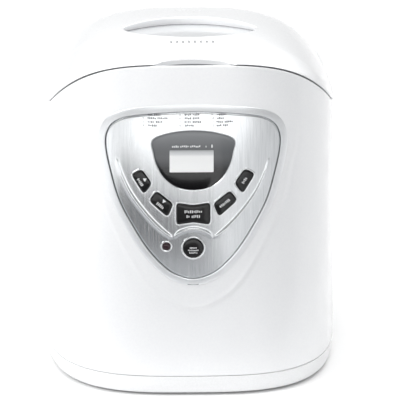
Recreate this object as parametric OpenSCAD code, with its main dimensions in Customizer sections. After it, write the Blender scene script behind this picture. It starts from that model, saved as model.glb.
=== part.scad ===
// Countertop bread machine: superelliptic housing, domed lid with a window,
// lift-out pan with a kneading paddle, belt drive and a shield-shaped control panel.
// Front faces -Y, +X is to the right as seen from the front, Z = 0 is the standing surface.

/* [Body] */
// Half width of the housing at the reference level
body_half_w = 135; // [132:1:140]
// Half depth of the housing at the reference level
body_half_d = 170; // [168:1:176]
// Roundness of the housing's plan, 2 is an ellipse
plan_power = 3.13; // [2.8:0.01:3.6]
// How much wider each side is at the foot than at the reference level
flare = 3; // [1:0.5:4]
// Level at which the half width and half depth are given
ref_z = 250; // [240:1:260]
// Thickness of the moulded walls
wall = 2.6; // [2.2:0.1:3]
// Level of the joint between base and housing
base_seam_z = 20; // [18:1:22]

/* [Lid] */
// Level of the lid joint at the middle of the front
front_seam_z = 318.6; // [314:0.2:322]
// Level of the lid joint along the sides and the back
side_seam_z = 256; // [255:0.5:258]
// Highest level of the lid
crown_z = 327; // [325:0.5:330]
// Gap between lid and housing
seam_gap = 0.5; // [0.4:0.1:0.8]

/* [Pan] */
// Half width of the bread pan
pan_half_w = 66; // [60:1:67]
// Half depth of the bread pan
pan_half_d = 72; // [64:1:73]
// Level of the pan's rim
pan_rim_z = 238; // [225:1:240]
// Length of the handle's arms
handle_arm = 60; // [50:1:62]

/* [Panel] */
// Thickness of the silver bezel in front of the housing's face
bezel_proud = 2.6; // [2:0.1:3]
// Width of the bezel
bezel_w = 6.4; // [5:0.1:8]
// Travel of each button
button_travel = 1.2; // [0.8:0.1:1.3]

/* [Hidden] */
$fn = 48;

steps_round = 60;           // points around the plan
edge_h = 25;                // height of the rounded bottom edge
edge_inset = 6.9;           // how far that edge tucks in
edge_power = 3.8;
foot_gap = 2;               // height of the base's underside above the surface
floor_t = 2.5;              // base floor

// Lid dome
dome_base_z = 246;
dome_x_power = 3;
dome_z_power = 1.75;
dome_front_z = 319.5;
dome_peak_y = -110;
dome_rear_z = 284;
dome_fall_power = 1.35;
dome_roll_share = 0.4;      // share of the plan over which the rear edge rolls over
dome_roll_h = 22;
seam_base_z = 240;
seam_x_power = 3.6;
seam_z_power = 1.6;
lid_t = 2.6;
lid_edge_h = 2;             // height of the lid's edge above the joint
edge_floor_fall = 120;

// Lid window: a half ellipse in front and a parabola behind, joined at the widest line
window_half_w = 62;
window_mid_y = -25;
window_front_d = 76;
window_rear_d = 42;
glass_t = 3;
glass_front_y = -101;
glass_front_z = 319;
glass_slope = 0.1186;
vent_y = -118.6;
vent_pitch = 5.44;
rear_vent_y = 72;
rear_vent_pitch = 6;
scoop_r = 68.5;             // finger scoop in the lid's front edge
scoop_y = -221.5;
scoop_top_z = 323;
scoop_low_z = 311;
scoop_lean = 7;
scoop_wall = 2.4;

// Hinge
hinge_y = 170.3;
hinge_z = 256.3;
hinge_x = 45;
hinge_r = 4;
hinge_len = 19.6;
hinge_lug = 6.6;
pin_r = 2;
running = 0.05;             // radial clearance of a shaft in its bush

// Chamber, pan and drive share this axis
chamber_y = 5;
chamber_half_w = 86;
chamber_half_d = 91;
chamber_r = 21;
chamber_z = 60;
chamber_rim_z = 250;
sheet = 1;
deck_t = 2.5;
deck_slope_y = -93;
deck_slope = 0.72;
pan_z = 86;
pan_t = 1.5;
pan_r = 16;
shaft_r = 4;
handle_x = 75;
handle_wire = 2;
handle_z = 228;
handle_rise = 16.5;         // height of the folded grip above the pivots
chassis_z = 36;
chassis_t = 1.2;
motor_y = 132;
motor_r = 31;
motor_z = 50.5;
pulley_z = 18;
pulley_h = 12;
large_r = 44;
small_r = 9;
belt_gap = 0.3;
belt_t = 2;

// Control panel
panel_mid_z = 195;
panel_tilt = atan(flare / ref_z);
panel_half = [[0, 282.8], [34, 281.2], [62, 277], [77.5, 268.5], [85, 255], [86, 240],
    [82.5, 220], [74, 189.5], [60, 162], [44.5, 138], [27, 120], [12.5, 112.3], [0, 110]];
lens_half = [[0, 258], [20, 256], [36.5, 249.5], [36, 238], [33, 226], [26, 213.5], [14, 204.5],
    [0, 202]];
up_button = [[-45, 198.7], [-55.7, 216.3], [-47.2, 221.5], [-38, 208.5]];
down_button = [[-23.5, 177.3], [-39.7, 192.2], [-33.4, 201.1], [-18.7, 189]];
size_button = [[-14.9, 189.7], [0, 187.4], [14.9, 189.7], [14.9, 169.8], [0, 172.2], [-14.9, 169.8]];
start_z = 146.7;
start_r = 9;
led_x = -24.5;
led_z = 148.2;
led_r = 4;
lcd_x = -1.5;
board_y = -150;
board_t = 1.6;
switch_h = 4;

// ---------- outline functions ----------
function sgn(v) = v < 0 ? -1 : 1;
function power(v, p) = sgn(v) * pow(abs(v), p);
function sum(v, i = 0) = i >= len(v) ? 0 : v[i] + sum(v, i + 1);
function flat(lists) = [for (l = lists) for (v = l) v];
function mirror_x(pts) = [for (i = [len(pts) - 1:-1:0]) [-pts[i][0], pts[i][1]]];
function whole(half) = concat(half, [for (i = [len(half) - 2:-1:1]) [-half[i][0], half[i][1]]]);
function blend(a, b, c, d, t) = 0.5 * (2 * b + (c - a) * t + (2 * a - 5 * b + 4 * c - d) * t * t
    + (3 * b - a - 3 * c + d) * t * t * t);
function smooth(pts, steps) = [for (i = [0:len(pts) - 1]) for (s = [0:steps - 1])
    blend(pts[(i + len(pts) - 1) % len(pts)], pts[i], pts[(i + 1) % len(pts)],
        pts[(i + 2) % len(pts)], s / steps)];
function side_step(a, b, d) = d * [a[1] - b[1], b[0] - a[0]] / norm(b - a);
// Moves a clockwise loop outwards by d
function grow(pts, d) = [for (i = [0:len(pts) - 1])
    pts[i] + side_step(pts[(i + len(pts) - 1) % len(pts)], pts[(i + 1) % len(pts)], d)];

// ---------- body surface functions ----------
function tuck(z) = z >= edge_h ? 0
    : edge_inset * (1 - sqrt(1 - pow(1 - (z - foot_gap) / (edge_h - foot_gap), edge_power)));
function half_w(z, off) = body_half_w + flare * (ref_z - z) / ref_z - tuck(z) - off;
function half_d(z, off) = body_half_d + flare * (ref_z - z) / ref_z - tuck(z) - off;
function plan_point(angle, a, b) = [a * power(sin(angle), 2 / plan_power),
    -b * power(cos(angle), 2 / plan_power)];
function plan_angles() = [for (i = [0:steps_round - 1]) i * 360 / steps_round];
function plan_loop(z, off) = [for (t = plan_angles()) plan_point(t, half_w(z, off), half_d(z, off))];
function ring(z, off) = [for (p = plan_loop(z, off)) [p[0], p[1], z]];

function seam_z(x, y) = y > 0 ? side_seam_z
    : max(side_seam_z, seam_base_z + (front_seam_z - seam_base_z)
        * pow(1 - pow(min(abs(x) / body_half_w, 1), seam_x_power), 1 / seam_z_power));
function seam_ring(off, lift) = [for (t = plan_angles())
    let (outer = plan_point(t, body_half_w, body_half_d), z = seam_z(outer[0], outer[1]),
        p = plan_point(t, half_w(z, off), half_d(z, off))) [p[0], p[1], z + lift]];

function ridge_z(y) = y < dome_peak_y
    ? crown_z - (crown_z - dome_front_z) * pow((dome_peak_y - y) / (body_half_d + dome_peak_y), 2)
    : crown_z - (crown_z - dome_rear_z)
        * pow((y - dome_peak_y) / (body_half_d - dome_peak_y), dome_fall_power);
function plan_share(x, y) = min(1, pow(pow(abs(x) / body_half_w, plan_power)
    + pow(abs(y) / body_half_d, plan_power), 1 / plan_power));
function roll_drop(x, y) = let (w = max(0, plan_share(x, y) - 1 + dome_roll_share) / dome_roll_share)
    dome_roll_h * (1 - sqrt(max(0, 1 - w * w))) * min(1, max(0, (y + 30) / 120));
// The lid's edge stands just above the joint; inwards that floor falls away below the dome
function edge_floor_z(x, y) = seam_z(x, y) + lid_edge_h - edge_floor_fall * (1 - plan_share(x, y));
function dome_z(x, y) = max(edge_floor_z(x, y), dome_base_z + (ridge_z(y) - dome_base_z)
    * pow(1 - pow(min(abs(x) / body_half_w, 1), dome_x_power), 1 / dome_z_power) - roll_drop(x, y));
dome_shares = [1, 0.985, 0.96, 0.92, 0.85, 0.75, 0.62, 0.46, 0.3, 0.15];
function dome_ring(share, off, lift) = [for (t = plan_angles())
    let (edge = plan_point(t, body_half_w, body_half_d), z = seam_z(edge[0], edge[1]),
        p = plan_point(t, half_w(z, off), half_d(z, off)) * share)
    [p[0], p[1], dome_z(p[0], p[1]) + lift]];

// ---------- shape modules ----------
function band(a, b, n) = [for (i = [0:n - 1]) let (j = (i + 1) % n)
    each [[a + i, b + j, a + j], [a + i, b + i, b + j]]];

// Closed wall: the rings follow its section once round
module ring_wall(rings) {
    n = len(rings[0]);
    m = len(rings);
    polyhedron(points = flat(rings),
        faces = flat([for (k = [0:m - 1]) band(k * n, ((k + 1) % m) * n, n)]));
}

// Closed cap: from a point through the rings to another point
module ring_cap(first, rings, last) {
    n = len(rings[0]);
    m = len(rings);
    start = [for (i = [0:n - 1]) [0, 1 + i, 1 + (i + 1) % n]];
    sides = flat([for (k = [0:m - 2]) band(1 + k * n, 1 + (k + 1) * n, n)]);
    end = 1 + (m - 1) * n;
    finish = [for (i = [0:n - 1]) [end + i, end + n, end + (i + 1) % n]];
    polyhedron(points = concat([first], flat(rings), [last]), faces = concat(start, sides, finish));
}

// Rounded rectangle standing on z, centred on the chamber axis
module round_block(hw, hd, r, z, h) {
    translate([0, chamber_y, z]) {
        translate([-hw + r, -hd, 0]) cube([2 * (hw - r), 2 * hd, h]);
        translate([-hw, -hd + r, 0]) cube([2 * hw, 2 * (hd - r), h]);
        for (x = [-hw + r, hw - r]) for (y = [-hd + r, hd - r]) translate([x, y, 0]) cylinder(r = r, h = h);
    }
}

module tube(r_out, r_in, z, h) {
    translate([0, 0, z]) difference() {
        cylinder(r = r_out, h = h);
        translate([0, 0, -1]) cylinder(r = r_in, h = h + 2);
    }
}

// Extrudes its outline, drawn as (x, z), between two y levels
module along_y(y0, y1) {
    translate([0, y1, 0]) rotate([90, 0, 0]) linear_extrude(y1 - y0) children();
}

// Extrudes its outline, drawn as (y, z), to half_x on both sides
module along_x(half_x) {
    translate([-half_x, 0, 0]) rotate([90, 0, 90]) linear_extrude(2 * half_x) children();
}

module rod_y(x, z, r, y0, y1) {
    translate([x, y1, z]) rotate([90, 0, 0]) cylinder(r = r, h = y1 - y0);
}

module rod_x(y, z, r, x0, x1) {
    translate([x0, y, z]) rotate([0, 90, 0]) cylinder(r = r, h = x1 - x0);
}

module corners(x, y) {
    for (sx = [-1, 1]) for (sy = [-1, 1]) translate([sx * x, sy * y, 0]) children();
}

// ---------- base and housing ----------
boss_x = 98;
boss_y = 124;
boss_r = 5.5;
boss_z = 26;
screw_r = 2;

module outer_housing() {
    color("white") difference() {
        union() {
            ring_wall([ring(base_seam_z + seam_gap, 0), ring(edge_h, 0), seam_ring(0, 0),
                seam_ring(wall, 0), ring(edge_h, wall), ring(base_seam_z + seam_gap, wall)]);
            corners(boss_x, boss_y) translate([0, 0, boss_z]) cylinder(r = boss_r, h = 34);
            for (sx = [-1, 1]) for (sy = [-1, 1]) translate([sx * 107.5, sy * boss_y, 45])
                cube([19, 3, 30], center = true);
            for (sx = [-1, 1]) for (dx = [-1, 1]) hinge_lug_solid(sx * hinge_x
                + dx * (hinge_len + hinge_lug + 1) / 2);
        }
        corners(boss_x, boss_y) translate([0, 0, boss_z - 1]) cylinder(r = screw_r + running, h = 20);
        along_y(-200, -150) polygon(grow(smooth(whole(panel_half), 3), 0.3));
        for (sx = [-1, 1]) {
            translate([sx * hinge_x, hinge_y - 4, side_seam_z])
                cube([hinge_len + 0.8, 16, 9], center = true);
            rod_x(hinge_y, hinge_z, pin_r, sx * hinge_x - 17, sx * hinge_x + 17);
        }
        for (i = [-4.5:1:4.5]) translate([i * 9, 170, 215]) cube([4, 20, 34], center = true);
        rod_y(cord_x, cord_z, 8.1, 150, 180);
    }
}

module hinge_lug_solid(x) {
    rod_x(hinge_y, hinge_z, hinge_r, x - hinge_lug / 2, x + hinge_lug / 2);
    translate([x - hinge_lug / 2, 163.2, 252.7]) cube([hinge_lug, 7.1, 2.9]);
}

module base_pan() {
    lip = wall + 0.3;
    lip_in = lip + 2;
    top = base_seam_z;
    color("white") difference() {
        union() {
            ring_cap([0, 0, foot_gap],
                [ring(foot_gap, 0), ring(4, 0), ring(7, 0), ring(12, 0), ring(top, 0), ring(top, lip),
                    ring(top + 4.5, lip), ring(top + 4.5, lip_in), ring(foot_gap + floor_t, lip_in)],
                [0, 0, foot_gap + floor_t]);
            corners(boss_x, boss_y) translate([0, 0, foot_gap + 1]) cylinder(r = boss_r, h = 22.7);
            for (y = [-30, 42]) translate([power_x - 3, y, foot_gap + 1]) cube([8, 8, 67]);
        }
        corners(boss_x, boss_y) {
            translate([0, 0, -1]) cylinder(r = screw_r + 0.2, h = 40);
            translate([0, 0, -1]) cylinder(r = 4.2, h = 8);
        }
        corners(foot_x, foot_y) translate([0, 0, -1]) cylinder(r = foot_r + running, h = 1 + foot_h);
        for (x = [-4:4]) for (y = [-1, 1]) translate([x * 12, y * 90, 3]) cube([4, 40, 8], center = true);
    }
}

foot_x = 92;
foot_y = 96;
foot_r = 9;
foot_h = 3.4;

module rubber_feet() {
    color([0.12, 0.12, 0.12]) corners(foot_x, foot_y) {
        cylinder(r1 = foot_r - 1, r2 = foot_r, h = 1);
        translate([0, 0, 1]) cylinder(r = foot_r, h = foot_h - 1);
    }
}

module base_screws() {
    color("silver") corners(boss_x, boss_y) {
        translate([0, 0, 4.5]) cylinder(r = 4, h = 2.5);
        translate([0, 0, 7]) cylinder(r = screw_r, h = 32);
    }
}

// ---------- chassis, chamber and heating ----------
module chassis_plate() {
    color("lightgray") difference() {
        translate([-100, -110, chassis_z]) cube([200, 272, chassis_t]);
        for (y = [chamber_y, motor_y]) translate([0, y, chassis_z - 1]) cylinder(r = 12.5, h = 4);
        for (x = [-1, 1]) for (y = [-70, 60]) translate([x * 70, y, chassis_z - 1])
            cylinder(r = 14, h = 4);
        corners(boss_x, boss_y) translate([0, 0, chassis_z - 1]) cylinder(r = 8, h = 4);
        for (x = [-1, 1]) translate([x * 100, 150, chassis_z]) cube([80, 60, 6], center = true);
    }
}

module chassis_spacers() {
    floor_z = foot_gap + floor_t;
    plate_z = chassis_z + chassis_t;
    color("silver") {
        for (x = [-1, 1]) for (p = [[85, -100], [55, 115]])
            translate([x * p[0], p[1], floor_z]) cylinder(r = 5, h = chassis_z - floor_z);
        for (x = [-1, 1]) for (y = [-40, 40])
            translate([x * 55, chamber_y + y, plate_z]) cylinder(r = 5, h = chamber_z - plate_z);
    }
}

module oven_chamber() {
    color("silver") difference() {
        union() {
            round_block(chamber_half_w, chamber_half_d, chamber_r, chamber_z, chamber_rim_z - chamber_z);
            round_block(chamber_half_w + 6, chamber_half_d + 6, chamber_r + 6, chamber_rim_z - sheet, sheet);
        }
        round_block(chamber_half_w - sheet, chamber_half_d - sheet, chamber_r - sheet,
            chamber_z + sheet, chamber_rim_z);
        translate([0, chamber_y, chamber_z - 1]) cylinder(r = 13, h = 4);
        for (y = [-1, 1]) rod_x(chamber_y + y * element_leg, element_z, insulator_r + running, -95, -75);
        rod_y(sensor_x, sensor_z, 2.6, -95, -75);
    }
}

module chamber_deck() {
    top = chamber_rim_z + deck_t;
    rise = deck_slope * (deck_slope_y + 180);
    color("gainsboro") difference() {
        intersection() {
            along_x(150) polygon([[-180, top + rise], [deck_slope_y, top], [180, top],
                [180, chamber_rim_z], [deck_slope_y, chamber_rim_z], [-180, chamber_rim_z + rise]]);
            translate([0, 0, 240]) linear_extrude(90) polygon(plan_loop(300, wall + 0.4));
        }
        round_block(chamber_half_w - 2, chamber_half_d - 2, chamber_r - 2, chamber_rim_z - 5, 90);
    }
}

element_r = 64;
element_wire = 3.25;
element_z = 72;
element_leg = 9;
insulator_r = 6;

module heating_element() {
    leg_x = sqrt(element_r * element_r - element_leg * element_leg);
    color([0.35, 0.35, 0.38]) {
        translate([0, chamber_y, element_z]) difference() {
            rotate_extrude() translate([element_r, 0]) circle(r = element_wire);
            translate([-element_r - 10, -element_leg, -10]) cube([20, 2 * element_leg, 20]);
        }
        for (y = [-1, 1]) rod_x(chamber_y + y * element_leg, element_z, element_wire, -102, -leg_x);
    }
}

module element_insulators() {
    color("ivory") for (y = [-1, 1]) translate([-93, chamber_y + y * element_leg, element_z])
        rotate([0, 90, 0]) tube(insulator_r, element_wire + running, 0, 12);
}

module element_supports() {
    h = element_z - element_wire - chamber_z - sheet;
    color("silver") for (a = [60, 180, 300]) translate([0, chamber_y, chamber_z + sheet])
        rotate(a - 90) translate([0, element_r, 0]) cylinder(r = 3, h = h);
}

sensor_x = 40;
sensor_z = 90;

module temperature_sensor() {
    color("goldenrod") {
        rod_y(sensor_x, sensor_z, 2.5, -100, -74);
        rod_y(sensor_x, sensor_z, 5, -94, -86.2);
    }
}

module thermal_fuse() {
    color("white") {
        translate([-90, 42, 100]) cylinder(r = 3, h = 22);
        translate([-90, 42, 94]) cylinder(r = 0.8, h = 34);
    }
}

module pan_socket() {
    color("silver") translate([0, chamber_y, 0]) {
        tube(49.5, 46.8, chamber_z + sheet, 11);
        tube(49.5, 30, chamber_z + sheet, 1);
        for (a = [0, 180]) rotate(a) translate([49, -7, chamber_z + sheet]) cube([2, 14, 14]);
    }
}

// ---------- drive ----------
module bearing_housing() {
    low = chassis_z + chassis_t;
    color("silver") translate([0, chamber_y, 0]) difference() {
        union() {
            translate([0, 0, low]) cylinder(r = 12, h = chamber_z - low);
            translate([0, 0, low]) cylinder(r = 20, h = 3);
            translate([0, 0, chamber_z - 2.5]) cylinder(r = 22, h = 2.5);
        }
        translate([0, 0, low - 1]) cylinder(r = 8, h = 40);
    }
}

module sleeve_bearings() {
    color("peru") translate([0, chamber_y, 0]) {
        tube(8, shaft_r + running, chassis_z + 2, 9);
        tube(8, shaft_r + running, chamber_z - 10, 10);
    }
}

module drive_shaft() {
    color("gray") translate([0, chamber_y, 12]) cylinder(r = shaft_r, h = 54);
}

coupling_z = 63;
module drive_coupling() {
    color("dimgray") translate([0, chamber_y, 0]) {
        tube(17, shaft_r, coupling_z, 3);
        for (a = [90, 270]) rotate(a) translate([9.5, -3, coupling_z + 3]) cube([5, 6, 9]);
    }
}

module large_pulley() {
    color([0.2, 0.2, 0.22]) translate([0, chamber_y, 0]) difference() {
        translate([0, 0, pulley_z]) cylinder(r = large_r, h = pulley_h);
        translate([0, 0, pulley_z - 1]) cylinder(r = shaft_r, h = 20);
        difference() {
            translate([0, 0, pulley_z + 3]) cylinder(r = large_r - 5, h = 20);
            cylinder(r = 10, h = 60);
        }
        for (a = [0:60:300]) rotate(a) translate([25, 0, pulley_z - 1]) cylinder(r = 7, h = 20);
    }
}

// Loop of the belt's centre circles with radii r1 and r2, tangents included
function belt_loop(r1, r2) = let (d = motor_y - chamber_y, lean = asin((r1 - r2) / d))
    concat([for (i = [0:24]) let (a = 180 - lean + i * (180 + 2 * lean) / 24)
            [r1 * cos(a), chamber_y + r1 * sin(a)]],
        [for (i = [0:12]) let (a = lean + i * (180 - 2 * lean) / 12)
            [r2 * cos(a), motor_y + r2 * sin(a)]]);

module drive_belt() {
    gap1 = large_r + belt_gap;
    gap2 = small_r + belt_gap;
    color([0.15, 0.15, 0.15]) translate([0, 0, pulley_z + 2]) linear_extrude(pulley_h - 4) difference() {
        polygon(belt_loop(gap1 + belt_t, gap2 + belt_t));
        polygon(belt_loop(gap1, gap2));
    }
}

module motor() {
    color("slategray") translate([0, motor_y, 0]) difference() {
        union() {
            translate([0, 0, motor_z]) cylinder(r = motor_r, h = 60);
            translate([0, 0, motor_z + 60]) cylinder(r = 14, h = 8);
            translate([0, 0, motor_z - 8]) cylinder(r = 10, h = 9);
        }
        translate([0, 0, motor_z - 10]) cylinder(r = shaft_r + running, h = 66);
        for (x = [-1, 1]) translate([x * 22, 0, motor_z - 1]) cylinder(r = 1.6, h = 9);
    }
}

module motor_bracket() {
    low = chassis_z + chassis_t;
    color("silver") difference() {
        union() {
            translate([-38, motor_y - 33, motor_z - 2.5]) cube([76, 66, 2.5]);
            for (x = [-1, 1]) for (y = [-27, 25]) translate([x * 33, motor_y + y, low])
                cylinder(r = 4, h = motor_z - low - 1);
        }
        translate([0, motor_y, motor_z - 10]) cylinder(r = 10.2, h = 20);
        for (x = [-1, 1]) translate([x * 22, motor_y, motor_z - 10]) cylinder(r = 1.8, h = 20);
    }
}

module motor_screws() {
    color("silver") for (x = [-1, 1]) translate([x * 22, motor_y, 0]) {
        translate([0, 0, motor_z - 5]) cylinder(r = 3.2, h = 2.4);
        translate([0, 0, motor_z - 3]) cylinder(r = 1.5, h = 9);
    }
}

module motor_shaft() {
    color("gray") translate([0, motor_y, 13]) cylinder(r = shaft_r, h = motor_z + 54 - 13);
}

module small_pulley() {
    color([0.2, 0.2, 0.22]) translate([0, motor_y, 0]) {
        tube(small_r, shaft_r, pulley_z, pulley_h);
        tube(small_r + 2.5, shaft_r, pulley_z - 1.5, 1.5);
        tube(small_r + 2.5, shaft_r, pulley_z + pulley_h, 1.5);
    }
}

// ---------- electrics ----------
power_x = -112;
module power_board() {
    color("seagreen") translate([power_x, -35, 70]) cube([board_t, 90, 95]);
}

module transformer() {
    color("dimgray") translate([power_x + board_t, -28, 84]) cube([16, 32, 30]);
}

module capacitor() {
    color("royalblue") rod_x(24, 98, 8, power_x + board_t, power_x + board_t + 15);
}

// Flat cable standing on edge from the control board to the power board
module ribbon_cable() {
    path = [[-58.5, -150.8], [-84, -138], [-103, -100], [-109, -60], [-111.2, -35.4]];
    outer = [for (i = [0:len(path) - 1]) path[i]
        + side_step(path[max(0, i - 1)], path[min(len(path) - 1, i + 1)], 0.4)];
    inner = [for (i = [len(path) - 1:-1:0]) path[i]
        + side_step(path[max(0, i - 1)], path[min(len(path) - 1, i + 1)], -0.4)];
    color("gray") translate([0, 0, 142]) linear_extrude(16) polygon(concat(outer, inner));
}

cord_x = 45;
cord_z = 36;
cord_hole_r = 3.6;
module cord_gland() {
    color([0.15, 0.15, 0.15]) difference() {
        union() {
            rod_y(cord_x, cord_z, 8, 164, 172);
            rod_y(cord_x, cord_z, 10.5, 172, 174);
            rod_y(cord_x, cord_z, 9.5, 164, 166.4);
        }
        rod_y(cord_x, cord_z, cord_hole_r, 150, 180);
    }
}

module hinge_pins() {
    color("silver") for (sx = [-1, 1]) rod_x(hinge_y, hinge_z, pin_r, sx * hinge_x - 17, sx * hinge_x + 17);
}

// ---------- control panel ----------
function front_y(x) = -half_d(panel_mid_z, 0)
    * pow(1 - pow(abs(x) / half_w(panel_mid_z, 0), plan_power), 1 / plan_power);

// Curved slab that follows the housing's face, from `out` in front of it to `back` behind it
module face_slab(out, back) {
    xs = [for (x = [-98:7:98]) x];
    translate([0, -half_d(panel_mid_z, 0), panel_mid_z]) rotate([-panel_tilt, 0, 0])
        translate([0, half_d(panel_mid_z, 0), -100]) linear_extrude(200)
            polygon(concat([for (x = xs) [x, front_y(x) - out]],
                [for (i = [len(xs) - 1:-1:0]) [xs[i], front_y(xs[i]) + back]]));
}

module face_piece(loop, out, back) {
    intersection() {
        face_slab(out, back);
        along_y(-185, -135) polygon(loop);
    }
}

panel_loop = smooth(whole(panel_half), 3);
lens_loop = smooth(whole(lens_half), 3);
button_loops = [up_button, down_button, size_button, mirror_x(down_button), mirror_x(up_button)];
function mean_point(pts) = [sum([for (p = pts) p[0]]) / len(pts), sum([for (p = pts) p[1]]) / len(pts)];
switch_points = concat([for (l = button_loops) mean_point(l)], [[0, start_z]]);
board_hole_x = 52;
board_hole_z = [176, 256];
carrier_gap = 3.9;          // from the housing's face back to the panel carrier, measured along Y

module panel_bezel() {
    color("silver") difference() {
        face_piece(panel_loop, bezel_proud, wall);
        along_y(-190, -130) polygon(grow(panel_loop, -bezel_w));
    }
}

module fascia_plate() {
    color([0.75, 0.76, 0.78]) difference() {
        face_piece(grow(panel_loop, -bezel_w - 0.2), 0.6, 1);
        along_y(-190, -130) polygon(grow(lens_loop, 0.2));
        for (l = button_loops) along_y(-190, -130) polygon(grow(l, 0.4));
        rod_y(0, start_z, start_r + 0.4, -190, -130);
        rod_y(led_x, led_z, led_r + 0.1, -190, -130);
    }
}

module panel_carrier() {
    color("dimgray") difference() {
        union() {
            face_piece(grow(panel_loop, 3), -carrier_gap, carrier_gap + 2);
            for (x = [-1, 1]) for (z = board_hole_z) rod_y(x * board_hole_x, z, 3.5, -164.5, board_y);
        }
        along_y(-190, -160) translate([lcd_x, 229.5]) square([49, 31], center = true);
        for (p = switch_points) rod_y(p[0], p[1], 3.4, -190, -130);
        rod_y(led_x, led_z, led_r + 0.1, -190, -130);
        for (x = [-1, 1]) for (z = board_hole_z) rod_y(x * board_hole_x, z, 1.6, -160, board_y + 1);
    }
}

module display_lens() {
    color([0.1, 0.1, 0.12]) face_piece(lens_loop, 0.5, 1);
}

module lcd_module() {
    color("silver") translate([lcd_x - 24, -168.7, 214.5]) cube([48, 4.5, 30]);
}

module control_board() {
    color("seagreen") difference() {
        translate([-58, board_y, 135]) cube([116, board_t, 128]);
        for (x = [-1, 1]) for (z = board_hole_z) rod_y(x * board_hole_x, z, 1.7, -160, -140);
    }
}

module board_screws() {
    color("silver") for (x = [-1, 1]) for (z = board_hole_z) {
        rod_y(x * board_hole_x, z, 1.5, -158, board_y + board_t);
        rod_y(x * board_hole_x, z, 3, board_y + board_t, board_y + board_t + 1.6);
    }
}

module tact_switches() {
    color("black") for (p = switch_points) translate([p[0] - 3, board_y - switch_h, p[1] - 3])
        cube([6, switch_h, 6]);
}

module buzzer() {
    color("black") rod_y(30, 240, 6, board_y + board_t, board_y + board_t + 8);
}

// Lens with the light pipe that reaches the board
module indicator_lens() {
    color([0.5, 0.1, 0.1]) {
        rod_y(led_x, led_z, led_r, -171.9, -167);
        rod_y(led_x, led_z, 2, -168, board_y);
    }
}

// Button cap with its stem, which reaches the switch behind it
module push_button(loop, centre) {
    stem_end = board_y - switch_h - button_travel - 0.3;
    color([0.08, 0.08, 0.09]) {
        face_piece(loop, 1.7, 1.4);
        rod_y(centre[0], centre[1], 3, -168, stem_end);
    }
}

module button_time_up() { push_button(button_loops[0], switch_points[0]); }
module button_time_down() { push_button(button_loops[1], switch_points[1]); }
module button_size() { push_button(button_loops[2], switch_points[2]); }
module button_options() { push_button(button_loops[3], switch_points[3]); }
module button_colour() { push_button(button_loops[4], switch_points[4]); }

module button_start() {
    stem_end = board_y - switch_h - button_travel - 0.3;
    color([0.08, 0.08, 0.09]) {
        rod_y(0, start_z, start_r, -173.6, -170.2);
        rod_y(0, start_z, 3, -171, stem_end);
    }
}

// ---------- lid ----------
function window_loop(grow_by) = concat(
    [for (i = [0:20]) let (a = 180 - i * 9)
        [(window_half_w + grow_by) * cos(a), window_mid_y
            + (window_rear_d + grow_by) * (1 - pow(cos(a), 2))]],
    [for (i = [1:19]) let (a = -i * 9)
        [(window_half_w + grow_by) * cos(a), window_mid_y + (window_front_d + grow_by) * sin(a)]]);

module window_prism(grow_by) {
    translate([0, 0, 280]) linear_extrude(70) polygon(window_loop(grow_by));
}

// Slab parallel to the glass, from `low` to `high` above the glass's top face
module glass_slab(low, high) {
    front = glass_front_z + glass_slope * 40;
    rear = glass_front_z - glass_slope * 160;
    along_x(100) polygon([[glass_front_y - 40, front + low], [glass_front_y - 40, front + high],
        [glass_front_y + 160, rear + high], [glass_front_y + 160, rear + low]]);
}

module dome_solid() {
    low = 262;
    ring_cap([0, 0, low], concat([[for (p = dome_ring(0.9, 0, 0)) [p[0], p[1], low]]],
        [for (s = [0.9, 0.8, 0.7, 0.6, 0.5, 0.4, 0.25, 0.12]) dome_ring(s, 0, 0)]), [0, 0, dome_z(0, 0)]);
}

module scoop_cone(extra) {
    slope = scoop_lean / (scoop_top_z - scoop_low_z);
    translate([0, scoop_y, scoop_low_z])
        cylinder(r1 = scoop_r - scoop_lean + extra, r2 = scoop_r + slope * 20 + extra, h = 32, $fn = 96);
}

// Front part of the dome as one block, which trims the wall of the finger scoop
module dome_front_block() {
    half = 60;
    xs = [for (x = [-half:10:half]) x];
    ys = [for (y = [-170:5:-145]) y];
    n = len(ys) + 2;
    sections = [for (x = xs) concat([[x, ys[0], scoop_low_z]],
        [for (y = ys) [x, y, dome_z(x, y) - 0.6]], [[x, ys[len(ys) - 1], scoop_low_z]])];
    count = len(xs);
    polyhedron(points = flat(sections), faces = concat(
        [[for (i = [0:n - 1]) i]], [[for (i = [n - 1:-1:0]) (count - 1) * n + i]],
        flat([for (k = [0:count - 2]) band((k + 1) * n, k * n, n)])));
}

lid_post_x = 104;
lid_post_y = [-60, 70];
lid_post_z = 259.5;

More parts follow.
